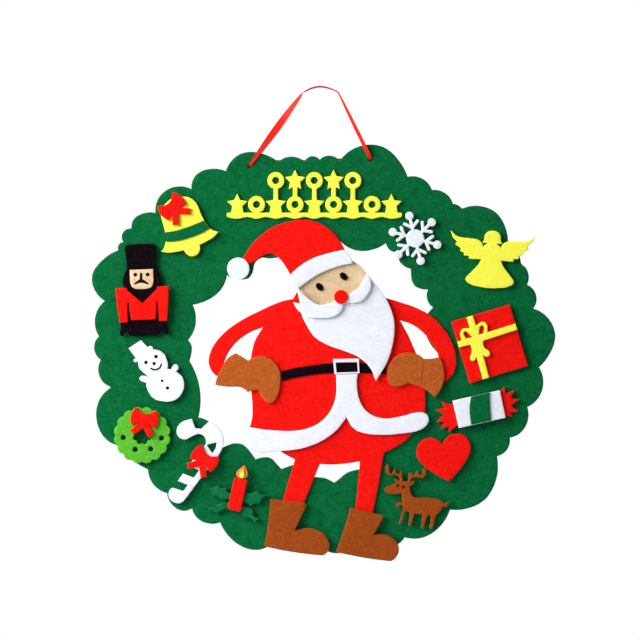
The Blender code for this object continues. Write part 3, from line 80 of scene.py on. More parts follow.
# Hanging ribbon. A 10 mm red polyester satin ribbon goes up from one punched hole, over the hook
# and down into the other. Its woven edges are thicker, and it gathers into lengthwise folds where
# a hole squeezes it. Each row is a place, the width as a share and the turn away from the viewer.
MM = 0.001
RIBBON_WIDTH = 10 * MM
RIBBON_THICKNESS = 0.35 * MM
RIBBON_SIDES = 36
EDGE_SQUARENESS = 0.6
SELVEDGE = 0.12 * MM
SELVEDGE_START = 0.86
FOLD_DEPTH = 0.6 * MM
FOLDS_ACROSS = 2.5
FOLD_SWAY = 1.2
FOLD_SWAY_RATE = 40
SATIN_RIB_SPACING = math.pi * MM
SATIN_FLOAT_SIZE = (30 * MM, 0.9 * MM)
ROUTE_SAMPLES = 8
LOOP_ROUTE = (
    (-0.0914, 0.0000, -0.1022, 0.37, 0), (-0.0911, -0.0010, -0.1018, 0.37, 0),
    (-0.0908, -0.0018, -0.1013, 0.37, 0), (-0.0902, -0.0022, -0.1005, 0.38, 0),
    (-0.0879, -0.0026, -0.0974, 0.43, 0), (-0.0831, -0.0029, -0.0908, 0.54, 0),
    (-0.0748, -0.0032, -0.0794, 0.69, 0), (-0.0665, -0.0034, -0.0680, 0.84, 0),
    (-0.0581, -0.0035, -0.0566, 0.93, 4), (-0.0498, -0.0035, -0.0451, 0.94, 12),
    (-0.0415, -0.0034, -0.0337, 0.90, 26), (-0.0346, -0.0033, -0.0242, 0.86, 40),
    (-0.0290, -0.0032, -0.0166, 0.82, 55), (-0.0249, -0.0031, -0.0109, 0.80, 68),
    (-0.0222, -0.0030, -0.0074, 0.78, 86), (-0.0185, -0.0030, -0.0052, 0.78, 97),
    (-0.0130, -0.0030, -0.0024, 0.78, 101), (-0.0050, -0.0030, 0.0000, 0.78, 102),
    (0.0020, -0.0030, 0.0004, 0.78, 102), (0.0105, -0.0030, -0.0012, 0.78, 101),
    (0.0180, -0.0030, -0.0040, 0.78, 95), (0.0222, -0.0030, -0.0062, 0.78, 97),
    (0.0243, -0.0030, -0.0085, 0.78, 101), (0.0270, -0.0030, -0.0139, 0.77, 106),
    (0.0322, -0.0030, -0.0245, 0.76, 112), (0.0406, -0.0032, -0.0418, 0.74, 122),
    (0.0491, -0.0036, -0.0592, 0.70, 132), (0.0567, -0.0040, -0.0747, 0.62, 146),
    (0.0618, -0.0034, -0.0851, 0.52, 162), (0.0643, -0.0026, -0.0903, 0.43, 174),
    (0.0652, -0.0022, -0.0921, 0.38, 180), (0.0655, -0.0018, -0.0929, 0.37, 180),
    (0.0657, -0.0010, -0.0934, 0.37, 180), (0.0659, 0.0000, -0.0939, 0.37, 180))


def linear(colour):
    """The linear values of an sRGB hex colour: a dark channel is divided by 12.92, and any other
    has 0.055 added, is divided by 1.055 and is raised to the power 2.4."""
    channels = np.array([int(colour[i:i + 2], 16) for i in (0, 2, 4)]) / 255
    curve = ((channels + 0.055) / 1.055) ** 2.4
    return (*np.where(channels <= 0.04045, channels / 12.92, curve).tolist(), 1)


def add(tree, kind, inputs, **settings):
    """Adds a node with its settings. inputs gives each socket a value, or the output that feeds
    it."""
    node = tree.nodes.new(kind)
    for name, value in settings.items():
        setattr(node, name, value)
    for socket, value in inputs.items():
        if isinstance(value, bpy.types.NodeSocket):
            tree.links.new(value, node.inputs[socket])
        else:
            node.inputs[socket].default_value = value
    return node


def new_material(name):
    """An empty node material and its tree."""
    material = bpy.data.materials.new(name)
    material.use_nodes = True
    material.node_tree.nodes.clear()
    return material, material.node_tree


def unit(vectors):
    """Each row divided by its own length."""
    return vectors / np.maximum(np.linalg.norm(vectors, axis=1, keepdims=True), 1e-12)


def along_route(rows, samples):
    """A smooth line through the rows: between two of them each value follows the cubic whose slope
    at a row is half the step between the rows on its two sides."""
    rows = np.array(rows)
    ends = np.vstack([rows[:1], rows, rows[-1:]])
    a, b, c, d = (ends[k:len(ends) - 3 + k, None] for k in range(4))
    t = np.linspace(0, 1, samples, endpoint=False)[None, :, None]
    line = (2 * b + (c - a) * t + (2 * a - 5 * b + 4 * c - d) * t ** 2
            + (3 * b - a - 3 * c + d) * t ** 3)
    return np.vstack([line.reshape(-1, rows.shape[1]) / 2, rows[-1:]])


def ring_quads(rings, points, first=0):
    """Faces between closed rings that follow one another: a point, the next one in its ring, and
    the two across from them in the ring that comes after."""
    here = np.arange((rings - 1) * points).reshape(rings - 1, points)
    beside = np.roll(here, -1, axis=1)
    faces = np.stack([here, beside, beside + points, here + points], axis=-1)
    return faces.reshape(-1, 4) + first


def new_piece(name, points, faces, material, attribute, values):
    """A smooth mesh object of the points and faces, with a vector at each point for its texture."""
    mesh = bpy.data.meshes.new(name)
    mesh.from_pydata(points.tolist(), [], faces)
    mesh.attributes.new(attribute, "FLOAT_VECTOR", "POINT")
    mesh.attributes[attribute].data.foreach_set("vector", values.astype(np.float32).ravel())
    mesh.materials.append(material)
    mesh.shade_smooth()
    piece = bpy.data.objects.new(name, mesh)
    bpy.context.scene.collection.objects.link(piece)
    return piece


def band_scale(spacing):
    """The scale that sets a wave texture's bands this far apart: at a scale of 1 the wave turns
    through 20 radians a metre."""
    return 2 * math.pi / 20 / spacing


def satin():
    """Polyester satin, woven: long floating threads, drawn 30 mm long and 0.9 mm wide, give it a
    soft gloss along its length, and its fine ribs across, 0.25 mm apart in the real one, are drawn
    3 mm apart so that they show."""
    material, tree = new_material("woven_red_satin")
    place = add(tree, "ShaderNodeAttribute", {}, attribute_name="weave_place").outputs["Vector"]
    ribs = add(tree, "ShaderNodeTexWave", {
        "Vector": place, "Scale": band_scale(SATIN_RIB_SPACING), "Distortion": 0.6, "Detail": 1.0},
        bands_direction="X")
    threads = add(tree, "ShaderNodeMapping", {
        "Vector": place, "Scale": (1 / SATIN_FLOAT_SIZE[0], 1 / SATIN_FLOAT_SIZE[1], 1)})
    floats = add(tree, "ShaderNodeTexNoise", {
        "Vector": threads.outputs[0], "Scale": 1.0, "Detail": 2.0})
    tone = add(tree, "ShaderNodeValToRGB", {"Fac": floats.outputs["Fac"]})
    tone.color_ramp.elements[0].position = 0.3
    tone.color_ramp.elements[1].position = 0.72
    tone.color_ramp.elements[0].color = linear("d4100a")
    tone.color_ramp.elements[1].color = linear("fa2a1a")
    height = add(tree, "ShaderNodeMath", {
        0: ribs.outputs["Fac"], 1: floats.outputs["Fac"]}, operation="ADD")
    relief = add(tree, "ShaderNodeBump", {
        "Height": height.outputs[0], "Distance": 0.05 * MM, "Strength": 0.5})
    shader = add(tree, "ShaderNodeBsdfPrincipled", {
        "Base Color": tone.outputs["Color"], "Normal": relief.outputs["Normal"], "Roughness": 0.5,
        "Specular IOR Level": 0.12})
    add(tree, "ShaderNodeOutputMaterial", {"Surface": shader.outputs[0]})
    return material


SATIN = satin()


def ribbon(name, rows):
    """A flat closed tube along a route: across it the two faces lie half a thickness apart, more at
    the woven edges, and both follow a wave that deepens where the ribbon is squeezed narrow."""
    line = along_route(rows, ROUTE_SAMPLES)
    middle, share, turn = line[:, :3], line[:, 3:4], np.radians(line[:, 4:5])
    ahead = unit(np.gradient(middle, axis=0))
    inward = unit(np.stack([ahead[:, 2], 0 * ahead[:, 0], -ahead[:, 0]], axis=1))
    across = np.cos(turn) * inward - np.sin(turn) * np.array([0, 1, 0])
    facing = unit(np.cross(ahead, across))
    round_it = np.linspace(0, 2 * np.pi, RIBBON_SIDES, endpoint=False)
    side = np.sign(np.cos(round_it)) * np.abs(np.cos(round_it)) ** EDGE_SQUARENESS
    selvedge = SELVEDGE * (np.abs(side) > SELVEDGE_START)
    half = np.sign(np.sin(round_it)) * (RIBBON_THICKNESS / 2 + selvedge)
    half *= np.sqrt(np.clip(1 - side ** 8, 0, 1))
    squeeze = np.clip((1 - share) / 0.5, 0, 1)
    sway = FOLD_SWAY * np.sin(FOLD_SWAY_RATE * middle[:, 2:3])
    wave = FOLD_DEPTH * squeeze * np.sin(np.pi * FOLDS_ACROSS * side + sway)
    offset = across[:, None] * (side * share * RIBBON_WIDTH / 2)[..., None]
    offset = offset + facing[:, None] * (half + wave)[..., None]
    points = middle[:, None] + offset
    travelled = np.concatenate([[0], np.cumsum(np.linalg.norm(np.diff(middle, axis=0), axis=1))])
    weave = np.stack(np.broadcast_arrays(travelled[:, None], side * RIBBON_WIDTH / 2, half), axis=-1)
    rings, count = points.shape[:2]
    faces = ring_quads(rings, count).tolist()
    last = (rings - 1) * count
    faces += [list(range(count))[::-1], list(range(last, last + count))]
    piece = new_piece(name, points.reshape(-1, 3), faces, SATIN, "weave_place", weave.reshape(-1, 3))
    return piece, middle


hanging_loop, loop_line = ribbon("hanging_loop", LOOP_ROUTE)
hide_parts("ribbon_front")
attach(hanging_loop, "root")


# Ribbon behind the board. The same ribbon's two ends come out of the holes at the back, lie flat
# towards each other and are tied in one knot, below which two short tails spread.
TAIL_LENGTH = 0.026
KNOT_AT = 9
KNOT_SIZE = (15 * MM, 4.6 * MM, 12 * MM)
KNOT_STAND_OFF = 2.9 * MM
WRAP_DEPTH = 0.09
WAIST_DEPTH = 0.16
WAIST_WIDTH = 0.28
TAIL_WIDEST = 0.98
RUN_ROUTE = (
    (-0.0914, 0.0003, -0.1022, 0.37, 0), (-0.0909, 0.0012, -0.1022, 0.37, 0),
    (-0.0902, 0.0020, -0.1021, 0.37, 0), (-0.0889, 0.0024, -0.1020, 0.42, 0),
    (-0.0860, 0.0025, -0.1018, 0.56, 0), (-0.0760, 0.0026, -0.1010, 0.86, 0),
    (-0.0600, 0.0026, -0.0995, 1.00, 0), (-0.0400, 0.0026, -0.0987, 1.00, 0),
    (-0.0240, 0.0026, -0.0984, 0.90, 0), (-0.0120, 0.0026, -0.0983, 0.70, 0),
    (0.0000, 0.0026, -0.0980, 0.90, 0), (0.0180, 0.0026, -0.0974, 1.00, 0),
    (0.0360, 0.0026, -0.0966, 1.00, 0), (0.0500, 0.0026, -0.0956, 0.90, 0),
    (0.0600, 0.0025, -0.0948, 0.56, 0), (0.0634, 0.0024, -0.0944, 0.42, 0),
    (0.0647, 0.0020, -0.0942, 0.37, 0), (0.0654, 0.0012, -0.0940, 0.37, 0),
    (0.0659, 0.0003, -0.0939, 0.37, 0))
GATHER_LENGTH = 0.0084
GATHER_STAND_OFF = 0.0033


def knot_lump():
    """The tied part: an ellipsoid squared off a little, with slanting grooves where the ribbon wraps
    over itself, and a waist where the two ends cross."""
    slant, angle = np.meshgrid(
        np.linspace(0, np.pi, 40), np.linspace(0, 2 * np.pi, 72, endpoint=False), indexing="ij")
    x = -np.cos(slant)
    y = np.sin(slant) * np.cos(angle)
    z = np.sin(slant) * np.sin(angle)
    waist = WAIST_DEPTH * np.exp(-(x / WAIST_WIDTH) ** 2) * (np.abs(z) > 0.4)
    wraps = 1 + WRAP_DEPTH * np.sin(9 * z + 5 * x) * np.sin(slant) - waist
    size = np.array(KNOT_SIZE) / 2
    x = np.sign(x) * np.abs(x) ** 0.85
    points = np.stack([x * size[0], y * size[1], z * wraps * size[2]], axis=-1)
    return points * wraps[..., None] ** np.array([0, 1, 0])


def weld(piece):
    """Joins the points of a piece that lie in one place, as they do at a pole."""
    joined = bmesh.new()
    joined.from_mesh(piece.data)
    bmesh.ops.remove_doubles(joined, verts=joined.verts, dist=0.001 * MM)
    joined.to_mesh(piece.data)
    joined.free()


lump = knot_lump()
tie = np.array(RUN_ROUTE[KNOT_AT][:3]) + (0, KNOT_STAND_OFF, 0)
lump_points = lump.reshape(-1, 3)
back_knot = new_piece(
    "back_knot", lump_points + tie, ring_quads(*lump.shape[:2]).tolist(), SATIN, "weave_place",
    lump_points[:, [2, 0, 1]])
weld(back_knot)


def knot_tail(name, lean):
    """A tail of ribbon from the knot: it falls along its lean, a little curled, and widens to its
    cut."""
    down = np.linspace(0, TAIL_LENGTH, 8)
    aside = tie[0] + lean * down * (0.35 + 4 * down)
    behind = tie[1] - 0.8 * MM - 1.2 * MM * np.sin(90 * down)
    share = np.minimum(0.62 + 14 * down, TAIL_WIDEST)
    turn = 12 * lean + 0 * down
    return ribbon(name, np.stack([aside, behind, tie[2] - 3 * MM - down, share, turn], axis=1))[0]


def gather(name, hole):
    """The tuck in which the ribbon turns out of a hole: it lies flat across the hole's back."""
    across = np.linspace(-GATHER_LENGTH / 2, GATHER_LENGTH / 2, 7)
    behind = GATHER_STAND_OFF + 0.02 * np.abs(across)
    share = 0.86 - 22 * np.abs(across)
    return ribbon(name, np.stack([
        hole[0] + across, behind, hole[2] + 0.1 * across, share, 0 * across], axis=1))[0]


left_tail = knot_tail("ribbon_tail_left", -1)
right_tail = knot_tail("ribbon_tail_right", 1)
left_gather = gather("ribbon_gather_left", RUN_ROUTE[0])
right_gather = gather("ribbon_gather_right", RUN_ROUTE[-1])
back_run, run_line = ribbon("ribbon_back_run", RUN_ROUTE)
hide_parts("ribbon_back")
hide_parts("ribbon_knot")
for piece in (back_run, back_knot, left_tail, right_tail, left_gather, right_gather):
    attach(piece, "root")


# Wreath board. The ring is die-cut from 3 mm needle-punched polyester felt, deep green, and is
# stiff enough to hang flat. Everything else is cut from thinner felt in the same way, so the
# functions that cut a piece and that make its felt stand here.
CORNER_TURN = math.radians(34)
SHARP_TURN = math.radians(110)
OUTLINE_STEP = 1.0 * MM
FILL_STEP = 5.0 * MM
FILL_CLEARANCE = 0.45 * FILL_STEP
EDGE_ROUND_SHARE = 0.25
BACK_ROUND_SHARE = 0.15
EDGE_FUZZ = 0.07 * MM
FUZZ_WAVELENGTH = 4 * MM
FACE_WAVE = 0.07 * MM
FACE_WAVELENGTH = 21 * MM
MITRE_FLOOR = 1.2
FIT_SHARE = 0.45
FIT_MARGIN = 0.2 * MM
BLOCK = 400
PATTERN_SHIFT = 0.31
NEAR_ZERO = 1e-7


def node_outlines(name):
    """The outlines of a flat node's front, anticlockwise round felt and clockwise round a hole.
    An edge that no second triangle of the front uses is on an outline. Following each point's next
    one in doubled steps gives the lowest point on its loop and how many steps away that is, and
    the two together put the points in order."""
    mesh = frame["nodes"][name].data
    mesh.calc_loop_triangles()
    corners = np.empty(len(mesh.vertices) * 3, np.float32)
    mesh.vertices.foreach_get("co", corners)
    triangles = np.empty(len(mesh.loop_triangles) * 3, np.int32)
    mesh.loop_triangles.foreach_get("vertices", triangles)
    points, merged = np.unique(np.round(corners.reshape(-1, 3), 6), axis=0, return_inverse=True)
    triangles = merged.ravel()[triangles].reshape(-1, 3)
    a, b, c = (points[triangles[:, k]] for k in range(3))
    normal = np.cross(b - a, c - a)
    front = triangles[normal[:, 1] < -0.9 * np.linalg.norm(normal, axis=1)]
    edges = np.concatenate([front[:, [0, 1]], front[:, [1, 2]], front[:, [2, 0]]])
    count = len(points)
    rim = edges[~np.isin(edges[:, 0] * count + edges[:, 1], edges[:, 1] * count + edges[:, 0])]
    every = np.arange(count)
    following = every.copy()
    following[rim[:, 0]] = rim[:, 1]
    lowest, hop = every.copy(), following.copy()
    for _ in range(count.bit_length()):
        lowest, hop = np.minimum(lowest, lowest[hop]), hop[hop]
    steps = (lowest != every).astype(int)
    hop = np.where(steps == 0, every, following)
    for _ in range(count.bit_length()):
        steps, hop = steps + steps[hop], hop[hop]
    used = np.unique(rim)
    order = used[np.lexsort((-steps[used], lowest[used]))]
    breaks = np.flatnonzero(np.diff(lowest[order])) + 1
    return [points[loop][:, [0, 2]] for loop in np.split(order, breaks)]


def smooth_outline(loop):
    """The loop as a fine line. Where it turns little, its direction at a point leans to the longer of
    the two chords, and a corner is left sharp. Each chord carries the cubic that is nearest to an
    arc: its handles are a third of the chord over the squared cosine of a quarter of its turn."""
    chord = np.roll(loop, -1, axis=0) - loop
    length = np.linalg.norm(chord, axis=1)
    angle = np.arctan2(chord[:, 1], chord[:, 0])
    turn = (angle - np.roll(angle, 1) + np.pi) % (2 * np.pi) - np.pi
    corner = np.abs(turn) > CORNER_TURN
    before = np.roll(length, 1)
    swing = turn * length ** 2 / (length ** 2 + before ** 2)
    leave, arrive = swing - turn, np.roll(swing, -1)
    leaves_corner, meets_corner = corner, np.roll(corner, -1)
    arrive = np.where(meets_corner, np.where(leaves_corner, 0, -leave), arrive)
    leave = np.where(leaves_corner, np.where(meets_corner, 0, -arrive), leave)
    sharp = np.abs(turn) > SHARP_TURN
    straight = sharp | np.roll(sharp, -1)
    arrive, leave = np.where(straight, 0, arrive), np.where(straight, 0, leave)
    reach = (length / 3 / np.cos((arrive - leave) / 4) ** 2)[:, None]
    start = loop + reach * np.stack([np.cos(angle + leave), np.sin(angle + leave)], axis=1)
    end = loop + chord - reach * np.stack([np.cos(angle + arrive), np.sin(angle + arrive)], axis=1)
    steps = np.maximum(1, np.ceil(length / OUTLINE_STEP)).astype(int)
    at = np.repeat(np.arange(len(loop)), steps)
    t = ((np.arange(len(at)) - (np.cumsum(steps) - steps)[at]) / steps[at])[:, None]
    return (loop[at] * (1 - t) ** 3 + 3 * start[at] * t * (1 - t) ** 2
            + 3 * end[at] * t ** 2 * (1 - t) + (loop + chord)[at] * t ** 3)


def in_blocks(function, points):
    """The function of the points, a few hundred at a time, which keeps the arrays small."""
    blocks = np.array_split(points, len(points) // BLOCK + 1)
    return np.concatenate([function(block) for block in blocks])


def ripple(points, wavelength):
    """Smooth noise from -1 to 1 at plane points: the mean of five sines that run five ways."""
    ways = np.arange(5) * 2.4
    waves = np.stack([np.cos(ways), np.sin(ways)]) * 2 * np.pi / wavelength * (1 + 0.23 * np.arange(5))
    return np.sin(points @ waves + 1.7 * np.arange(5)).mean(axis=1)


def felt(name, material, grain):
    """Cuts a piece of felt round a flat node: its outline is carried round an edge whose front and
    back are rounded by quarter circles, and both faces are filled with the same net of triangles.
    At each point of the outline the edge's rounding is at most a share of the circle that fits in
    there, so that a thin tip isn't cut through. grain is the fibres' angle in degrees."""
    low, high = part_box(name)
    thickness = high.y - low.y
    loops = [smooth_outline(loop) for loop in node_outlines(name)]
    sizes = np.array([len(loop) for loop in loops])
    rim = np.concatenate(loops)
    count = len(rim)
    first = np.repeat(np.cumsum(sizes) - sizes, sizes)
    here = np.arange(count) - first
    after = first + (here + 1) % np.repeat(sizes, sizes)
    before = first + (here - 1) % np.repeat(sizes, sizes)
    heading = unit(rim[after] - rim)
    side = np.stack([-heading[:, 1], heading[:, 0]], axis=1)
    both = side + side[before]
    inward = unit(both)
    mitre = 2 * both / np.maximum((both ** 2).sum(axis=1), MITRE_FLOOR)[:, None]

    def room(rows):
        """The radius of the widest circle that fits in at each row's point, which it touches: the
        least, over the outline, of the squared distance over twice the distance inwards."""
        gap = rim - rows[:, None, :2]
        ahead = (gap * rows[:, None, 2:]).sum(axis=2)
        circle = (gap ** 2).sum(axis=2) / np.maximum(2 * ahead, NEAR_ZERO)
        return np.where(ahead > NEAR_ZERO, circle, 1.0).min(axis=1)

    def inside(points):
        """Whether each point lies in the felt: an odd number of the front's edges are level with it
        and to its right."""
        x, z = points[:, :1], points[:, 1:]
        start, end = plan[0], plan[0][after]
        spans = (start[:, 1] > z) != (end[:, 1] > z)
        share = (z - start[:, 1]) / np.where(spans, end[:, 1] - start[:, 1], 1)
        return (spans & (x < start[:, 0] + share * (end[:, 0] - start[:, 0]))).sum(axis=1) % 2 == 1

    def nearest(points):
        """Each point's squared distance from the nearest point of the outline."""
        return ((points[:, None] - rim) ** 2).sum(axis=2).min(axis=1)

    edge = EDGE_ROUND_SHARE * thickness
    fit = in_blocks(room, np.hstack([rim, inward])) - FIT_MARGIN
    fit = np.clip(FIT_SHARE * fit / edge, 0, 1)
    for _ in range(2):
        fit = np.minimum(fit, np.minimum(fit[after], fit[before]))
    rim = rim + inward * (EDGE_FUZZ * ripple(rim, FUZZ_WAVELENGTH))[:, None]
    bend = np.radians([90, 60, 30, 0, 0, 45, 90])
    inset = edge * (1 - np.cos(bend))
    back = BACK_ROUND_SHARE * thickness
    depth = np.concatenate([edge * (1 - np.sin(bend[:4])), thickness - back * (1 - np.sin(bend[4:]))])
    plan = rim + mitre * (inset[:, None, None] * fit[:, None])
    rings = np.stack([plan[..., 0], low.y + depth[:, None] + 0 * plan[..., 0], plan[..., 1]], axis=-1)

    lattice = np.stack(np.meshgrid(np.arange(low.x, high.x, FILL_STEP),
                                   np.arange(low.z, high.z, FILL_STEP)), axis=-1)
    lattice[1::2, :, 0] += FILL_STEP / 2
    lattice = lattice.reshape(-1, 2)
    lattice = lattice[in_blocks(nearest, lattice) > FILL_CLEARANCE ** 2]
    if len(lattice):
        lattice = lattice[in_blocks(inside, lattice)]
    flat = np.concatenate([plan[0], lattice])
    ring = np.stack([np.arange(count), after], axis=1)
    net = geometry.delaunay_2d_cdt(flat.tolist(), ring.tolist(), [], 1, NEAR_ZERO)
    source = np.array([ids[0] for ids in net[3]])
    triangles = source[np.array([face for face in net[2] if len(face) == 3])]
    middle = flat[triangles].mean(axis=1)
    triangles = triangles[in_blocks(inside, middle)]
    a, b, c = (flat[triangles[:, k]] for k in range(3))
    flipped = (b - a)[:, 0] * (c - a)[:, 1] < (b - a)[:, 1] * (c - a)[:, 0]
    triangles[flipped] = triangles[flipped][:, ::-1]

    wave = FACE_WAVE * (1 + ripple(lattice, FACE_WAVELENGTH)) if len(lattice) else np.empty(0)
    fronts = np.stack([lattice[:, 0], low.y + wave, lattice[:, 1]], axis=1)
    backs = np.stack([lattice[:, 0], high.y + 0 * wave, lattice[:, 1]], axis=1)
    points = np.concatenate([rings.reshape(-1, 3), fronts, backs])
    steps = np.arange(len(inset) - 1)[:, None] * count
    here, there = ring[:, 0] + steps, ring[:, 1] + steps
    walls = np.stack([here, here + count, there + count, there], axis=-1).reshape(-1, 4)
    ringed = triangles < count
    total = len(inset) * count
    front_faces = np.where(ringed, triangles, triangles - count + total)
    back_faces = np.where(ringed, triangles + total - count, triangles - count + total + len(lattice))
    faces = walls.tolist() + front_faces.tolist() + back_faces[:, ::-1].tolist()
    turned = math.radians(grain)
    spin = np.array([[math.cos(turned), -math.sin(turned)], [math.sin(turned), math.cos(turned)]])
    across = points[:, [0, 2]] @ spin + PATTERN_SHIFT * len(bpy.data.objects)
    place = np.stack([across[:, 0], points[:, 1], across[:, 1]], axis=1)
    piece = new_piece(f"{name}_felt", points, faces, material, "cut_place", place)
    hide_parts(name)
    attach(piece, frame["nodes"][name]["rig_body"])


CLOUD_SIZE = 12 * MM
TUFT_SIZE = 2.4 * MM
FIBRE_LENGTH = 7 * MM
FIBRE_WIDTH = 0.95 * MM
FIBRE_WAYS = (8, 67, 128)
FIBRE_SHARE = 0.7
FELT_RELIEF = 0.14 * MM


def felt_material(name, base, shade, fibre):
    """Needle-punched polyester felt: a mat of crimped fibres with no weave, so it is matt, a little
    cloudy where the mat is thinner, and streaked every way by single fibres, 7 mm long. These are
    0.03 mm thick in the real felt and are drawn at 0.95 mm so that they show."""
    material, tree = new_material(name)
    place = add(tree, "ShaderNodeAttribute", {}, attribute_name="cut_place").outputs["Vector"]
    cloud = add(tree, "ShaderNodeTexNoise", {"Vector": place, "Scale": 1 / CLOUD_SIZE, "Detail": 3.0})
    tufts = add(tree, "ShaderNodeTexNoise", {
        "Vector": place, "Scale": 1 / TUFT_SIZE, "Detail": 3.0, "Roughness": 0.65})
    streaks = None
    for angle in FIBRE_WAYS:
        way = add(tree, "ShaderNodeMapping", {
            "Vector": place, "Rotation": (0, math.radians(angle), 0),
            "Scale": (FIBRE_LENGTH, FIBRE_WIDTH, FIBRE_WIDTH)}, vector_type="TEXTURE")
        lines = add(tree, "ShaderNodeTexNoise", {
            "Vector": way.outputs[0], "Scale": 1.0, "Detail": 1.0}).outputs["Fac"]
        streaks = lines if streaks is None else add(
            tree, "ShaderNodeMath", {0: streaks, 1: lines}, operation="MAXIMUM").outputs[0]
    thin = add(tree, "ShaderNodeMapRange", {
        "Value": cloud.outputs["Fac"], "From Min": 0.3, "From Max": 0.7})
    speck = add(tree, "ShaderNodeMapRange", {
        "Value": tufts.outputs["Fac"], "From Min": 0.36, "From Max": 0.64})
    single = add(tree, "ShaderNodeMapRange", {"Value": streaks, "From Min": 0.52, "From Max": 0.78})
    mixed = add(tree, "ShaderNodeMath", {0: thin.outputs[0], 1: speck.outputs[0]}, operation="ADD")
    half = add(tree, "ShaderNodeMath", {0: mixed.outputs[0], 1: 0.5}, operation="MULTIPLY")
    body = add(tree, "ShaderNodeMix", {
        0: half.outputs[0], 6: linear(shade), 7: linear(base)}, data_type="RGBA")
    share = add(tree, "ShaderNodeMath", {0: single.outputs[0], 1: FIBRE_SHARE}, operation="MULTIPLY")
    colour = add(tree, "ShaderNodeMix", {
        0: share.outputs[0], 6: body.outputs[2], 7: linear(fibre)}, data_type="RGBA")
    height = add(tree, "ShaderNodeMath", {
        0: single.outputs[0], 1: 0.6, 2: speck.outputs[0]}, operation="MULTIPLY_ADD")
    relief = add(tree, "ShaderNodeBump", {
        "Height": height.outputs[0], "Distance": FELT_RELIEF, "Strength": 0.6})
    shader = add(tree, "ShaderNodeBsdfPrincipled", {
        "Base Color": colour.outputs[2], "Normal": relief.outputs["Normal"], "Roughness": 0.95,
        "Specular IOR Level": 0.03, "Sheen Weight": 0.06, "Sheen Roughness": 0.6,
        "Sheen Tint": linear(fibre)})
    add(tree, "ShaderNodeOutputMaterial", {"Surface": shader.outputs[0]})
    return material


GREEN = felt_material("needled_green_felt", "096f39", "024d27", "167647")
felt("wreath_board", GREEN, 20)


# Garland. A pierced bunting cut in one piece from 2.5 mm yellow felt and glued to the board under
# the ribbon's holes.
YELLOW = felt_material("needled_yellow_felt", "ffff4a", "fffb39", "ffff7c")
felt("garland", YELLOW, 5)


# Figure: trousers and coat. Bright red felt, the coat glued over the trousers' top, with a black
# felt belt and a white frame for its buckle.
RED = felt_material("needled_red_felt", "f9130f", "ec0b08", "fe2c22")
BLACK = felt_material("needled_black_felt", "0d080c", "050305", "241520")
WHITE = felt_material("needled_white_felt", "f6f8ff", "dde5f6", "ffffff")
felt("trousers", RED, 80)
felt("coat", RED, 70)
felt("belt", BLACK, 10)
felt("buckle", WHITE, 0)
felt("coat_trim", WHITE, 35)


# Figure: head. A beige face, red hat with a white band and pompom, and a white beard with a
# moustache in two halves over it. The eyes are small black ovals and the nose a red round.
BEIGE = felt_material("needled_beige_felt", "e7c99d", "d1b080", "f4e4c8")
felt("face", BEIGE, 25)
felt("hat", RED, 60)
felt("hat_band", WHITE, 20)
felt("hat_pompom", WHITE, 120)
felt("beard", WHITE, 65)
felt("left_moustache", WHITE, 10)
felt("right_moustache", WHITE, 40)
felt("left_eye", BLACK, 0)
felt("right_eye", BLACK, 0)
felt("nose", RED, 30)


# Figure: mittens and boots. Each is one cut of warm brown felt with paler fibres, glued over the
# end of a sleeve or a leg. The mittens' felt is lighter.
TAN = felt_material("needled_light_brown_felt", "bd5a22", "a74c18", "cb753c")
BROWN = felt_material("needled_brown_felt", "a04817", "8c3b10", "ae5c28")
felt("left_mitten", TAN, 75)
felt("right_mitten", TAN, 60)
felt("left_boot", BROWN, 85)
felt("right_boot", BROWN, 80)


# Ornaments. Each is cut from felt, glued up in one to four layers, and holds to the board by a
# dot of hook tape, so that it can be pulled off.
LIME = felt_material("needled_lime_felt", "56b62b", "4aa626", "7acc50")
ORANGE = felt_material("needled_orange_felt", "f28443", "e86f2c", "ffab6b")
GOLD = felt_material("needled_gold_felt", "ffd92e", "ffc81e", "ffef7a")
LEAF = felt_material("needled_leaf_green_felt", "0d7440", "085c32", "238156")
ORNAMENTS = (
    ("bell_body", YELLOW, "yellow_felt", 15, "wreath_board"),
    ("bell_band", GREEN, "green_felt", 70, "bell_body"),
    ("bell_bow", RED, "red_felt", 30, "bell_body"),
    ("soldier_base", BLACK, "black_felt", 85, "wreath_board"),
    ("soldier_face", BEIGE, "beige_felt", 10, "soldier_base"),
    ("soldier_jacket", RED, "red_felt", 50, "soldier_base"),
    ("snowman", WHITE, "white_felt", 75, "wreath_board"),
    ("small_wreath_ring", LIME, "lime_felt", 40, "wreath_board"),
    ("small_wreath_bow", RED, "red_felt", 5, "small_wreath_ring"),
    ("cane", WHITE, "white_felt", 130, "wreath_board"), ("cane_bow", RED, "red_felt", 95, "cane"),
    ("holly", LEAF, "green_felt", 110, "wreath_board"), ("candle", RED, "red_felt", 80, "holly"),
    ("flame_outer", ORANGE, "orange_felt", 60, "candle"),
    ("flame_inner", GOLD, "yellow_felt", 60, "flame_outer"),
    ("snowflake", WHITE, "white_felt", 15, "wreath_board"),
    ("angel", YELLOW, "yellow_felt", 100, "wreath_board"),
    ("gift_box", RED, "red_felt", 15, "wreath_board"),
    ("gift_ribbon", YELLOW, "yellow_felt", 15, "gift_box"),
    ("candy_ends", RED, "red_felt", 10, "wreath_board"),
    ("candy_wrapper", WHITE, "white_felt", 100, "candy_ends"),
    ("candy_stripe", GREEN, "green_felt", 12, "candy_wrapper"),
    ("heart", RED, "red_felt", 45, "wreath_board"),
    ("reindeer", BROWN, "brown_felt", 5, "wreath_board"))
for name, material, slot, grain, under in ORNAMENTS:
    felt(name, material, grain)
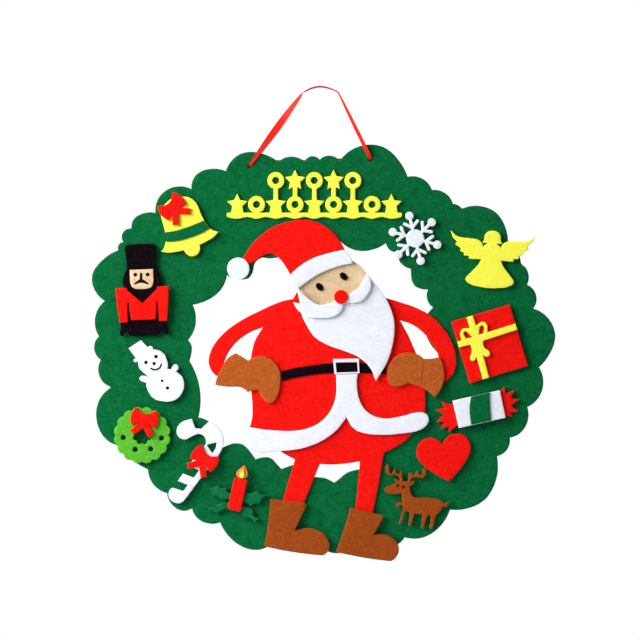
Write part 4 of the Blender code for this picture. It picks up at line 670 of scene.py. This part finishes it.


# Printed faces. Black ink, screen-printed thick on the felt: the snowman's and the soldier's faces,
# the snowman's buttons and the reindeer's eyes. Each row of a mark is a pixel of the photograph and
# a half width. The flame's pale middle is drawn in the same way. So is painted shade: a darker
# brown line down a mitten's cuff stands for the shade in the groove there.
PIXEL = 0.600 / 463.4
HOOK_PIXEL = (320.0, 87.2)
INK_RISE = 0.2 * MM
INK_SINK = 0.1 * MM
STROKE_END_STEPS = 7
STROKE_SIDES = 16


def ink_material():
    """Plastisol ink on felt: dull black, with fibres that show through it as paler flecks, 0.8 mm
    wide."""
    material, tree = new_material("screen_printed_black_ink")
    place = add(tree, "ShaderNodeAttribute", {}, attribute_name="cut_place").outputs["Vector"]
    fleck = add(tree, "ShaderNodeTexNoise", {"Vector": place, "Scale": 1 / (0.8 * MM), "Detail": 2.0})
    tone = add(tree, "ShaderNodeValToRGB", {"Fac": fleck.outputs["Fac"]})
    tone.color_ramp.elements[0].position = 0.45
    tone.color_ramp.elements[1].position = 0.8
    tone.color_ramp.elements[0].color = linear("070506")
    tone.color_ramp.elements[1].color = linear("1d1719")
    relief = add(tree, "ShaderNodeBump", {
        "Height": fleck.outputs["Fac"], "Distance": 0.05 * MM, "Strength": 0.5})
    shader = add(tree, "ShaderNodeBsdfPrincipled", {
        "Base Color": tone.outputs["Color"], "Normal": relief.outputs["Normal"], "Roughness": 0.8,
        "Specular IOR Level": 0.08})
    add(tree, "ShaderNodeOutputMaterial", {"Surface": shader.outputs[0]})
    return material


def strokes(name, carrier, marks, material, shift=(0, 0)):
    """Marks drawn on a felt's front, moved by a shift in pixels to the cut that carries them. Each is
    a low tube along its rows: it is as wide as they say and runs on by half its width at both ends,
    where it narrows as a circle does, so that a mark of one row is a round dot. Its height follows
    the same circle."""
    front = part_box(carrier)[0].y
    opening = np.linspace(0, np.pi / 2, STROKE_END_STEPS)
    around = np.linspace(0, 2 * np.pi, STROKE_SIDES, endpoint=False)
    points, faces = [], []
    for rows in marks:
        line = along_route(rows, ROUTE_SAMPLES) if len(rows) > 1 else np.array([rows[0], rows[0]])
        place = (line[:, :2] + shift - HOOK_PIXEL) * (PIXEL, -PIXEL)
        half = line[:, 2] * PIXEL
        heading = unit(np.gradient(place, axis=0)) if len(rows) > 1 else np.array([[1.0, 0.0]] * 2)
        start = place[0] - heading[0] * half[0] * np.cos(opening)[:, None]
        end = place[-1] + heading[-1] * half[-1] * np.sin(opening)[:, None]
        track = np.concatenate([start, place[1:-1], end])
        width = np.concatenate([half[0] * np.sin(opening), half[1:-1], half[-1] * np.cos(opening)])
        ahead = np.concatenate([heading[:1].repeat(STROKE_END_STEPS, 0), heading[1:-1],
                                heading[-1:].repeat(STROKE_END_STEPS, 0)])
        side = np.stack([-ahead[:, 1], ahead[:, 0]], axis=1)
        plan = track[:, None] + side[:, None] * (width[:, None] * np.cos(around))[..., None]
        rise = INK_RISE * np.minimum(width / half.max(), 1)
        depth = front + INK_SINK - rise[:, None] * np.sin(around)
        faces.append(ring_quads(len(track), STROKE_SIDES, first=sum(len(ring) for ring in points)))
        points.append(np.stack([plan[..., 0], depth, plan[..., 1]], axis=-1).reshape(-1, 3))
    points = np.concatenate(points)
    piece = new_piece(name, points, np.concatenate(faces).tolist(), material, "cut_place", points)
    weld(piece)
    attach(piece, frame["nodes"][carrier]["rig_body"])


INK = ink_material()
SNOWMAN_MARKS = (
    ((146.3, 362.3, 1.85),), ((156.3, 356.5, 1.85),), ((154.4, 363.4, 1.75),),
    ((151.3, 368.4, 0.85), (153.4, 369.4, 0.95), (156.6, 369.5, 1.0), (159.6, 368.0, 0.95),
     (161.1, 366.0, 0.9), (161.6, 363.9, 0.75)), ((162.4, 380.7, 1.4),), ((167.8, 387.8, 1.65),))
SOLDIER_MARKS = (
    ((136.7, 274.8, 2.0),), ((149.1, 274.6, 2.0),),
    ((142.5, 274.0, 1.4), (142.5, 276.5, 1.35), (142.5, 279.4, 1.6), (142.6, 281.0, 1.9)),
    ((136.2, 283.9, 1.1), (137.8, 283.0, 1.15), (139.8, 281.9, 1.55), (142.6, 281.0, 2.1),
     (145.4, 281.8, 1.55), (147.4, 282.8, 1.15), (149.0, 283.5, 1.1)))
SOLDIER_SHIFT = (-1.0, 0)
REINDEER_MARKS = (((397.6, 485.2, 1.35),), ((403.4, 486.7, 1.35),))
FLAME_MARKS = (((242.4, 471.6, 0.7), (242.3, 473.8, 1.6), (242.1, 475.8, 1.8)),)
# Painted shade: this darker brown line stands for the shade in the groove at the right mitten's cuff.
CUFF_GROOVE_SHADE_MARKS = (((423.6, 360.0, 0.3), (421.9, 373.0, 0.45), (420.8, 387.0, 0.3)),)
strokes("snowman_print", "snowman", SNOWMAN_MARKS, INK)
strokes("soldier_print", "soldier_face", SOLDIER_MARKS, INK, SOLDIER_SHIFT)
strokes("reindeer_print", "reindeer", REINDEER_MARKS, INK)
strokes("flame_glow", "flame_inner", FLAME_MARKS, YELLOW)
# The shade of the cuff's groove on the right mitten, painted in the boots' darker brown felt.
strokes("mitten_cuff_painted_groove_shade", "right_mitten", CUFF_GROOVE_SHADE_MARKS, BROWN)


# Hook-tape dots. A round of woven nylon tape, die-cut a little small, so that it doesn't show from
# the front, and glued to each ornament's back. Rows of stiff hooks on it catch in the board's felt.
# The real hooks stand 1.2 mm apart and are thinner.
TAPE_BASE = 0.7 * MM
TAPE_TRIM = 0.9 * MM
TAPE_ROUND = 0.15 * MM
TAPE_SIDES = 48
TAPE_RIB_SPACING = 1.2 * math.pi * MM
HOOK_PITCH = 1.5 * MM
HOOK_STEM = 0.42 * MM
HOOK_BEND = 0.16 * MM
HOOK_TURN = 200
HOOK_STEPS = 7
HOOK_CORNER = 0.14 * MM
HOOK_MARGIN = 0.9 * MM


def hook_tape_material():
    """Woven nylon, undyed grey-white: a faint waxy gloss, and ribs across, finer in the real one and
    drawn 4 mm apart so that they show."""
    material, tree = new_material("woven_nylon_hook_tape")
    place = add(tree, "ShaderNodeAttribute", {}, attribute_name="tape_place").outputs["Vector"]
    ribs = add(tree, "ShaderNodeTexWave", {
        "Vector": place, "Scale": band_scale(TAPE_RIB_SPACING), "Distortion": 0.8, "Detail": 1.0},
        bands_direction="X")
    tone = add(tree, "ShaderNodeMix", {
        0: ribs.outputs["Fac"], 6: linear("84827e"), 7: linear("a5a39f")}, data_type="RGBA")
    relief = add(tree, "ShaderNodeBump", {
        "Height": ribs.outputs["Fac"], "Distance": 0.06 * MM, "Strength": 0.6})
    shader = add(tree, "ShaderNodeBsdfPrincipled", {
        "Base Color": tone.outputs[2], "Normal": relief.outputs["Normal"], "Roughness": 0.5,
        "Specular IOR Level": 0.3})
    add(tree, "ShaderNodeOutputMaterial", {"Surface": shader.outputs[0]})
    return material


def hook_tape(name):
    """A disc whose profile, rounded at both rims, is carried round its axis, and on its back hooks on
    a lattice: each is a square wire that goes straight up and then round a bend of 200 degrees."""
    low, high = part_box(name)
    middle = (low + high) / 2
    radius = (high.x - low.x) / 2 - TAPE_TRIM
    corner = TAPE_ROUND * (1 - np.cos(np.radians([0, 45, 90])))
    reach = np.concatenate([[0, radius / 2], radius - corner[::-1], radius - corner, [radius / 2, 0]])
    rise = TAPE_ROUND * (1 - np.sin(np.radians([90, 45, 0])))
    depth = np.concatenate([[0, 0], rise, TAPE_BASE - rise[::-1], [TAPE_BASE, TAPE_BASE]])
    around = np.linspace(0, 2 * np.pi, TAPE_SIDES, endpoint=False)
    disc = np.stack([reach[:, None] * np.cos(around), depth[:, None] + 0 * around,
                     -reach[:, None] * np.sin(around)], axis=-1)
    faces = ring_quads(len(reach), TAPE_SIDES).tolist()
    bend = np.radians(np.linspace(0, HOOK_TURN, HOOK_STEPS))
    lean = np.concatenate([[0], HOOK_BEND * (1 - np.cos(bend))])
    height = TAPE_BASE + np.concatenate([[-TAPE_ROUND], HOOK_STEM + HOOK_BEND * np.sin(bend)])
    tilt = np.concatenate([[0], bend])
    step = np.arange(-radius, radius, HOOK_PITCH)
    lattice = np.stack(np.meshgrid(step, step), axis=-1)
    lattice[1::2, :, 0] += HOOK_PITCH / 2
    way = np.where(np.arange(len(step)) % 2, 1, -1)[:, None].repeat(len(step), 1)
    kept = np.linalg.norm(lattice, axis=2) < radius - HOOK_MARGIN
    feet, way = lattice[kept], way[kept][:, None, None]
    square = np.radians([45, 135, 225, 315])
    out = HOOK_CORNER * np.cos(square)
    x = way * (lean[:, None] + out * np.cos(tilt)[:, None])
    y = height[:, None] - out * np.sin(tilt)[:, None]
    z = -HOOK_CORNER * np.sin(square) * way
    x, y, z = np.broadcast_arrays(feet[:, :1, None] + x, y, feet[:, 1:, None] + z)
    hooks = np.stack([x, y, z], axis=-1)
    first = disc.size // 3 + np.arange(len(feet)) * len(lean) * 4
    wires = ring_quads(len(lean), 4) + first[:, None, None]
    feet_ends = first[:, None] + np.arange(4)[::-1]
    tips = first[:, None] + len(lean) * 4 - 4 + np.arange(4)
    faces += wires.reshape(-1, 4).tolist() + feet_ends.tolist() + tips.tolist()
    place = np.concatenate([disc.reshape(-1, 3), hooks.reshape(-1, 3)])
    points = place + (middle.x, low.y, middle.z)
    piece = new_piece(f"{name}_tape", points, faces, TAPE, "tape_place", place)
    weld(piece)
    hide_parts(name)
    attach(piece, frame["nodes"][name]["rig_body"])


TAPE = hook_tape_material()
for name in ("bell", "soldier", "snowman", "small_wreath", "cane", "candle", "snowflake", "angel",
             "gift", "candy", "heart", "reindeer"):
    hook_tape(f"{name}_hook_dot")


# Room: a pale floor well below the hanging and a white surround. Camera, mirror and glass rays see
# plain white, while the felt is lit by a soft lamp on the upper left, by a weak one behind and by
# the dimmer surround.
FLOOR_HEIGHT = -0.95
FLOOR_RADIUS = 1.6
FLOOR_SIDES = 96
FADE_START = 0.9
FADE_END = 1.752
FILL_LEVEL = 0.29
KEY_PLACE = (-2.00, -0.90, 0.74)
KEY_SIZE = 1.6
KEY_POWER = 123
BACK_PLACE = (1.1, 2.2, 0.5)
BACK_SIZE = 1.2
BACK_POWER = 18
MIDDLE = (0, 0, -0.35)


def shown_white(tree):
    """1 for a ray from the camera, off a mirror or through glass, and 0 for one that lights."""
    rays = add(tree, "ShaderNodeLightPath", {}).outputs
    shown = add(tree, "ShaderNodeMath", {
        0: rays["Is Camera Ray"], 1: rays["Is Glossy Ray"]}, operation="MAXIMUM")
    return add(tree, "ShaderNodeMath", {
        0: shown.outputs[0], 1: rays["Is Transmission Ray"]}, operation="MAXIMUM").outputs[0]


world = bpy.data.worlds.new("plain_surround")
bpy.context.scene.world = world
world.use_nodes = True
surround = world.node_tree
surround.nodes.clear()
level = add(surround, "ShaderNodeMapRange", {
    "Value": shown_white(surround), "To Min": FILL_LEVEL, "To Max": 1.0})
sky = add(surround, "ShaderNodeBackground", {"Color": (1, 1, 1, 1), "Strength": level.outputs[0]})
add(surround, "ShaderNodeOutputWorld", {"Surface": sky.outputs[0]})

floor_material, tree = new_material("pale_floor")
where = add(tree, "ShaderNodeTexCoord", {}).outputs["Object"]
radius = add(tree, "ShaderNodeVectorMath", {0: where}, operation="LENGTH").outputs["Value"]
fade = add(tree, "ShaderNodeMapRange", {
    "Value": radius, "From Min": FADE_START, "From Max": FADE_END})
paint = add(tree, "ShaderNodeBsdfDiffuse", {"Color": (0.92, 0.92, 0.92, 1)})
glow = add(tree, "ShaderNodeEmission", {"Color": (1, 1, 1, 1), "Strength": shown_white(tree)})
faded = add(tree, "ShaderNodeMixShader", {
    0: fade.outputs[0], 1: paint.outputs[0], 2: glow.outputs[0]})
add(tree, "ShaderNodeOutputMaterial", {"Surface": faded.outputs[0]})
turns = np.linspace(0, 2 * np.pi, FLOOR_SIDES, endpoint=False)
disc = np.stack([
    FLOOR_RADIUS * np.cos(turns), FLOOR_RADIUS * np.sin(turns), FLOOR_HEIGHT + 0 * turns], axis=1)
floor = new_piece("floor", disc, [list(range(FLOOR_SIDES))], floor_material, "floor_place", disc)


def area_lamp(name, place, size, power):
    """A square soft lamp at a place, turned to the middle of the hanging."""
    lamp = bpy.data.lights.new(name, "AREA")
    lamp.size = size
    lamp.energy = power
    holder = bpy.data.objects.new(name, lamp)
    holder.location = place
    away = Vector(place) - Vector(MIDDLE)
    holder.rotation_euler = away.to_track_quat("Z", "Y").to_euler()
    bpy.context.scene.collection.objects.link(holder)


area_lamp("key_lamp", KEY_PLACE, KEY_SIZE, KEY_POWER)
area_lamp("back_lamp", BACK_PLACE, BACK_SIZE, BACK_POWER)
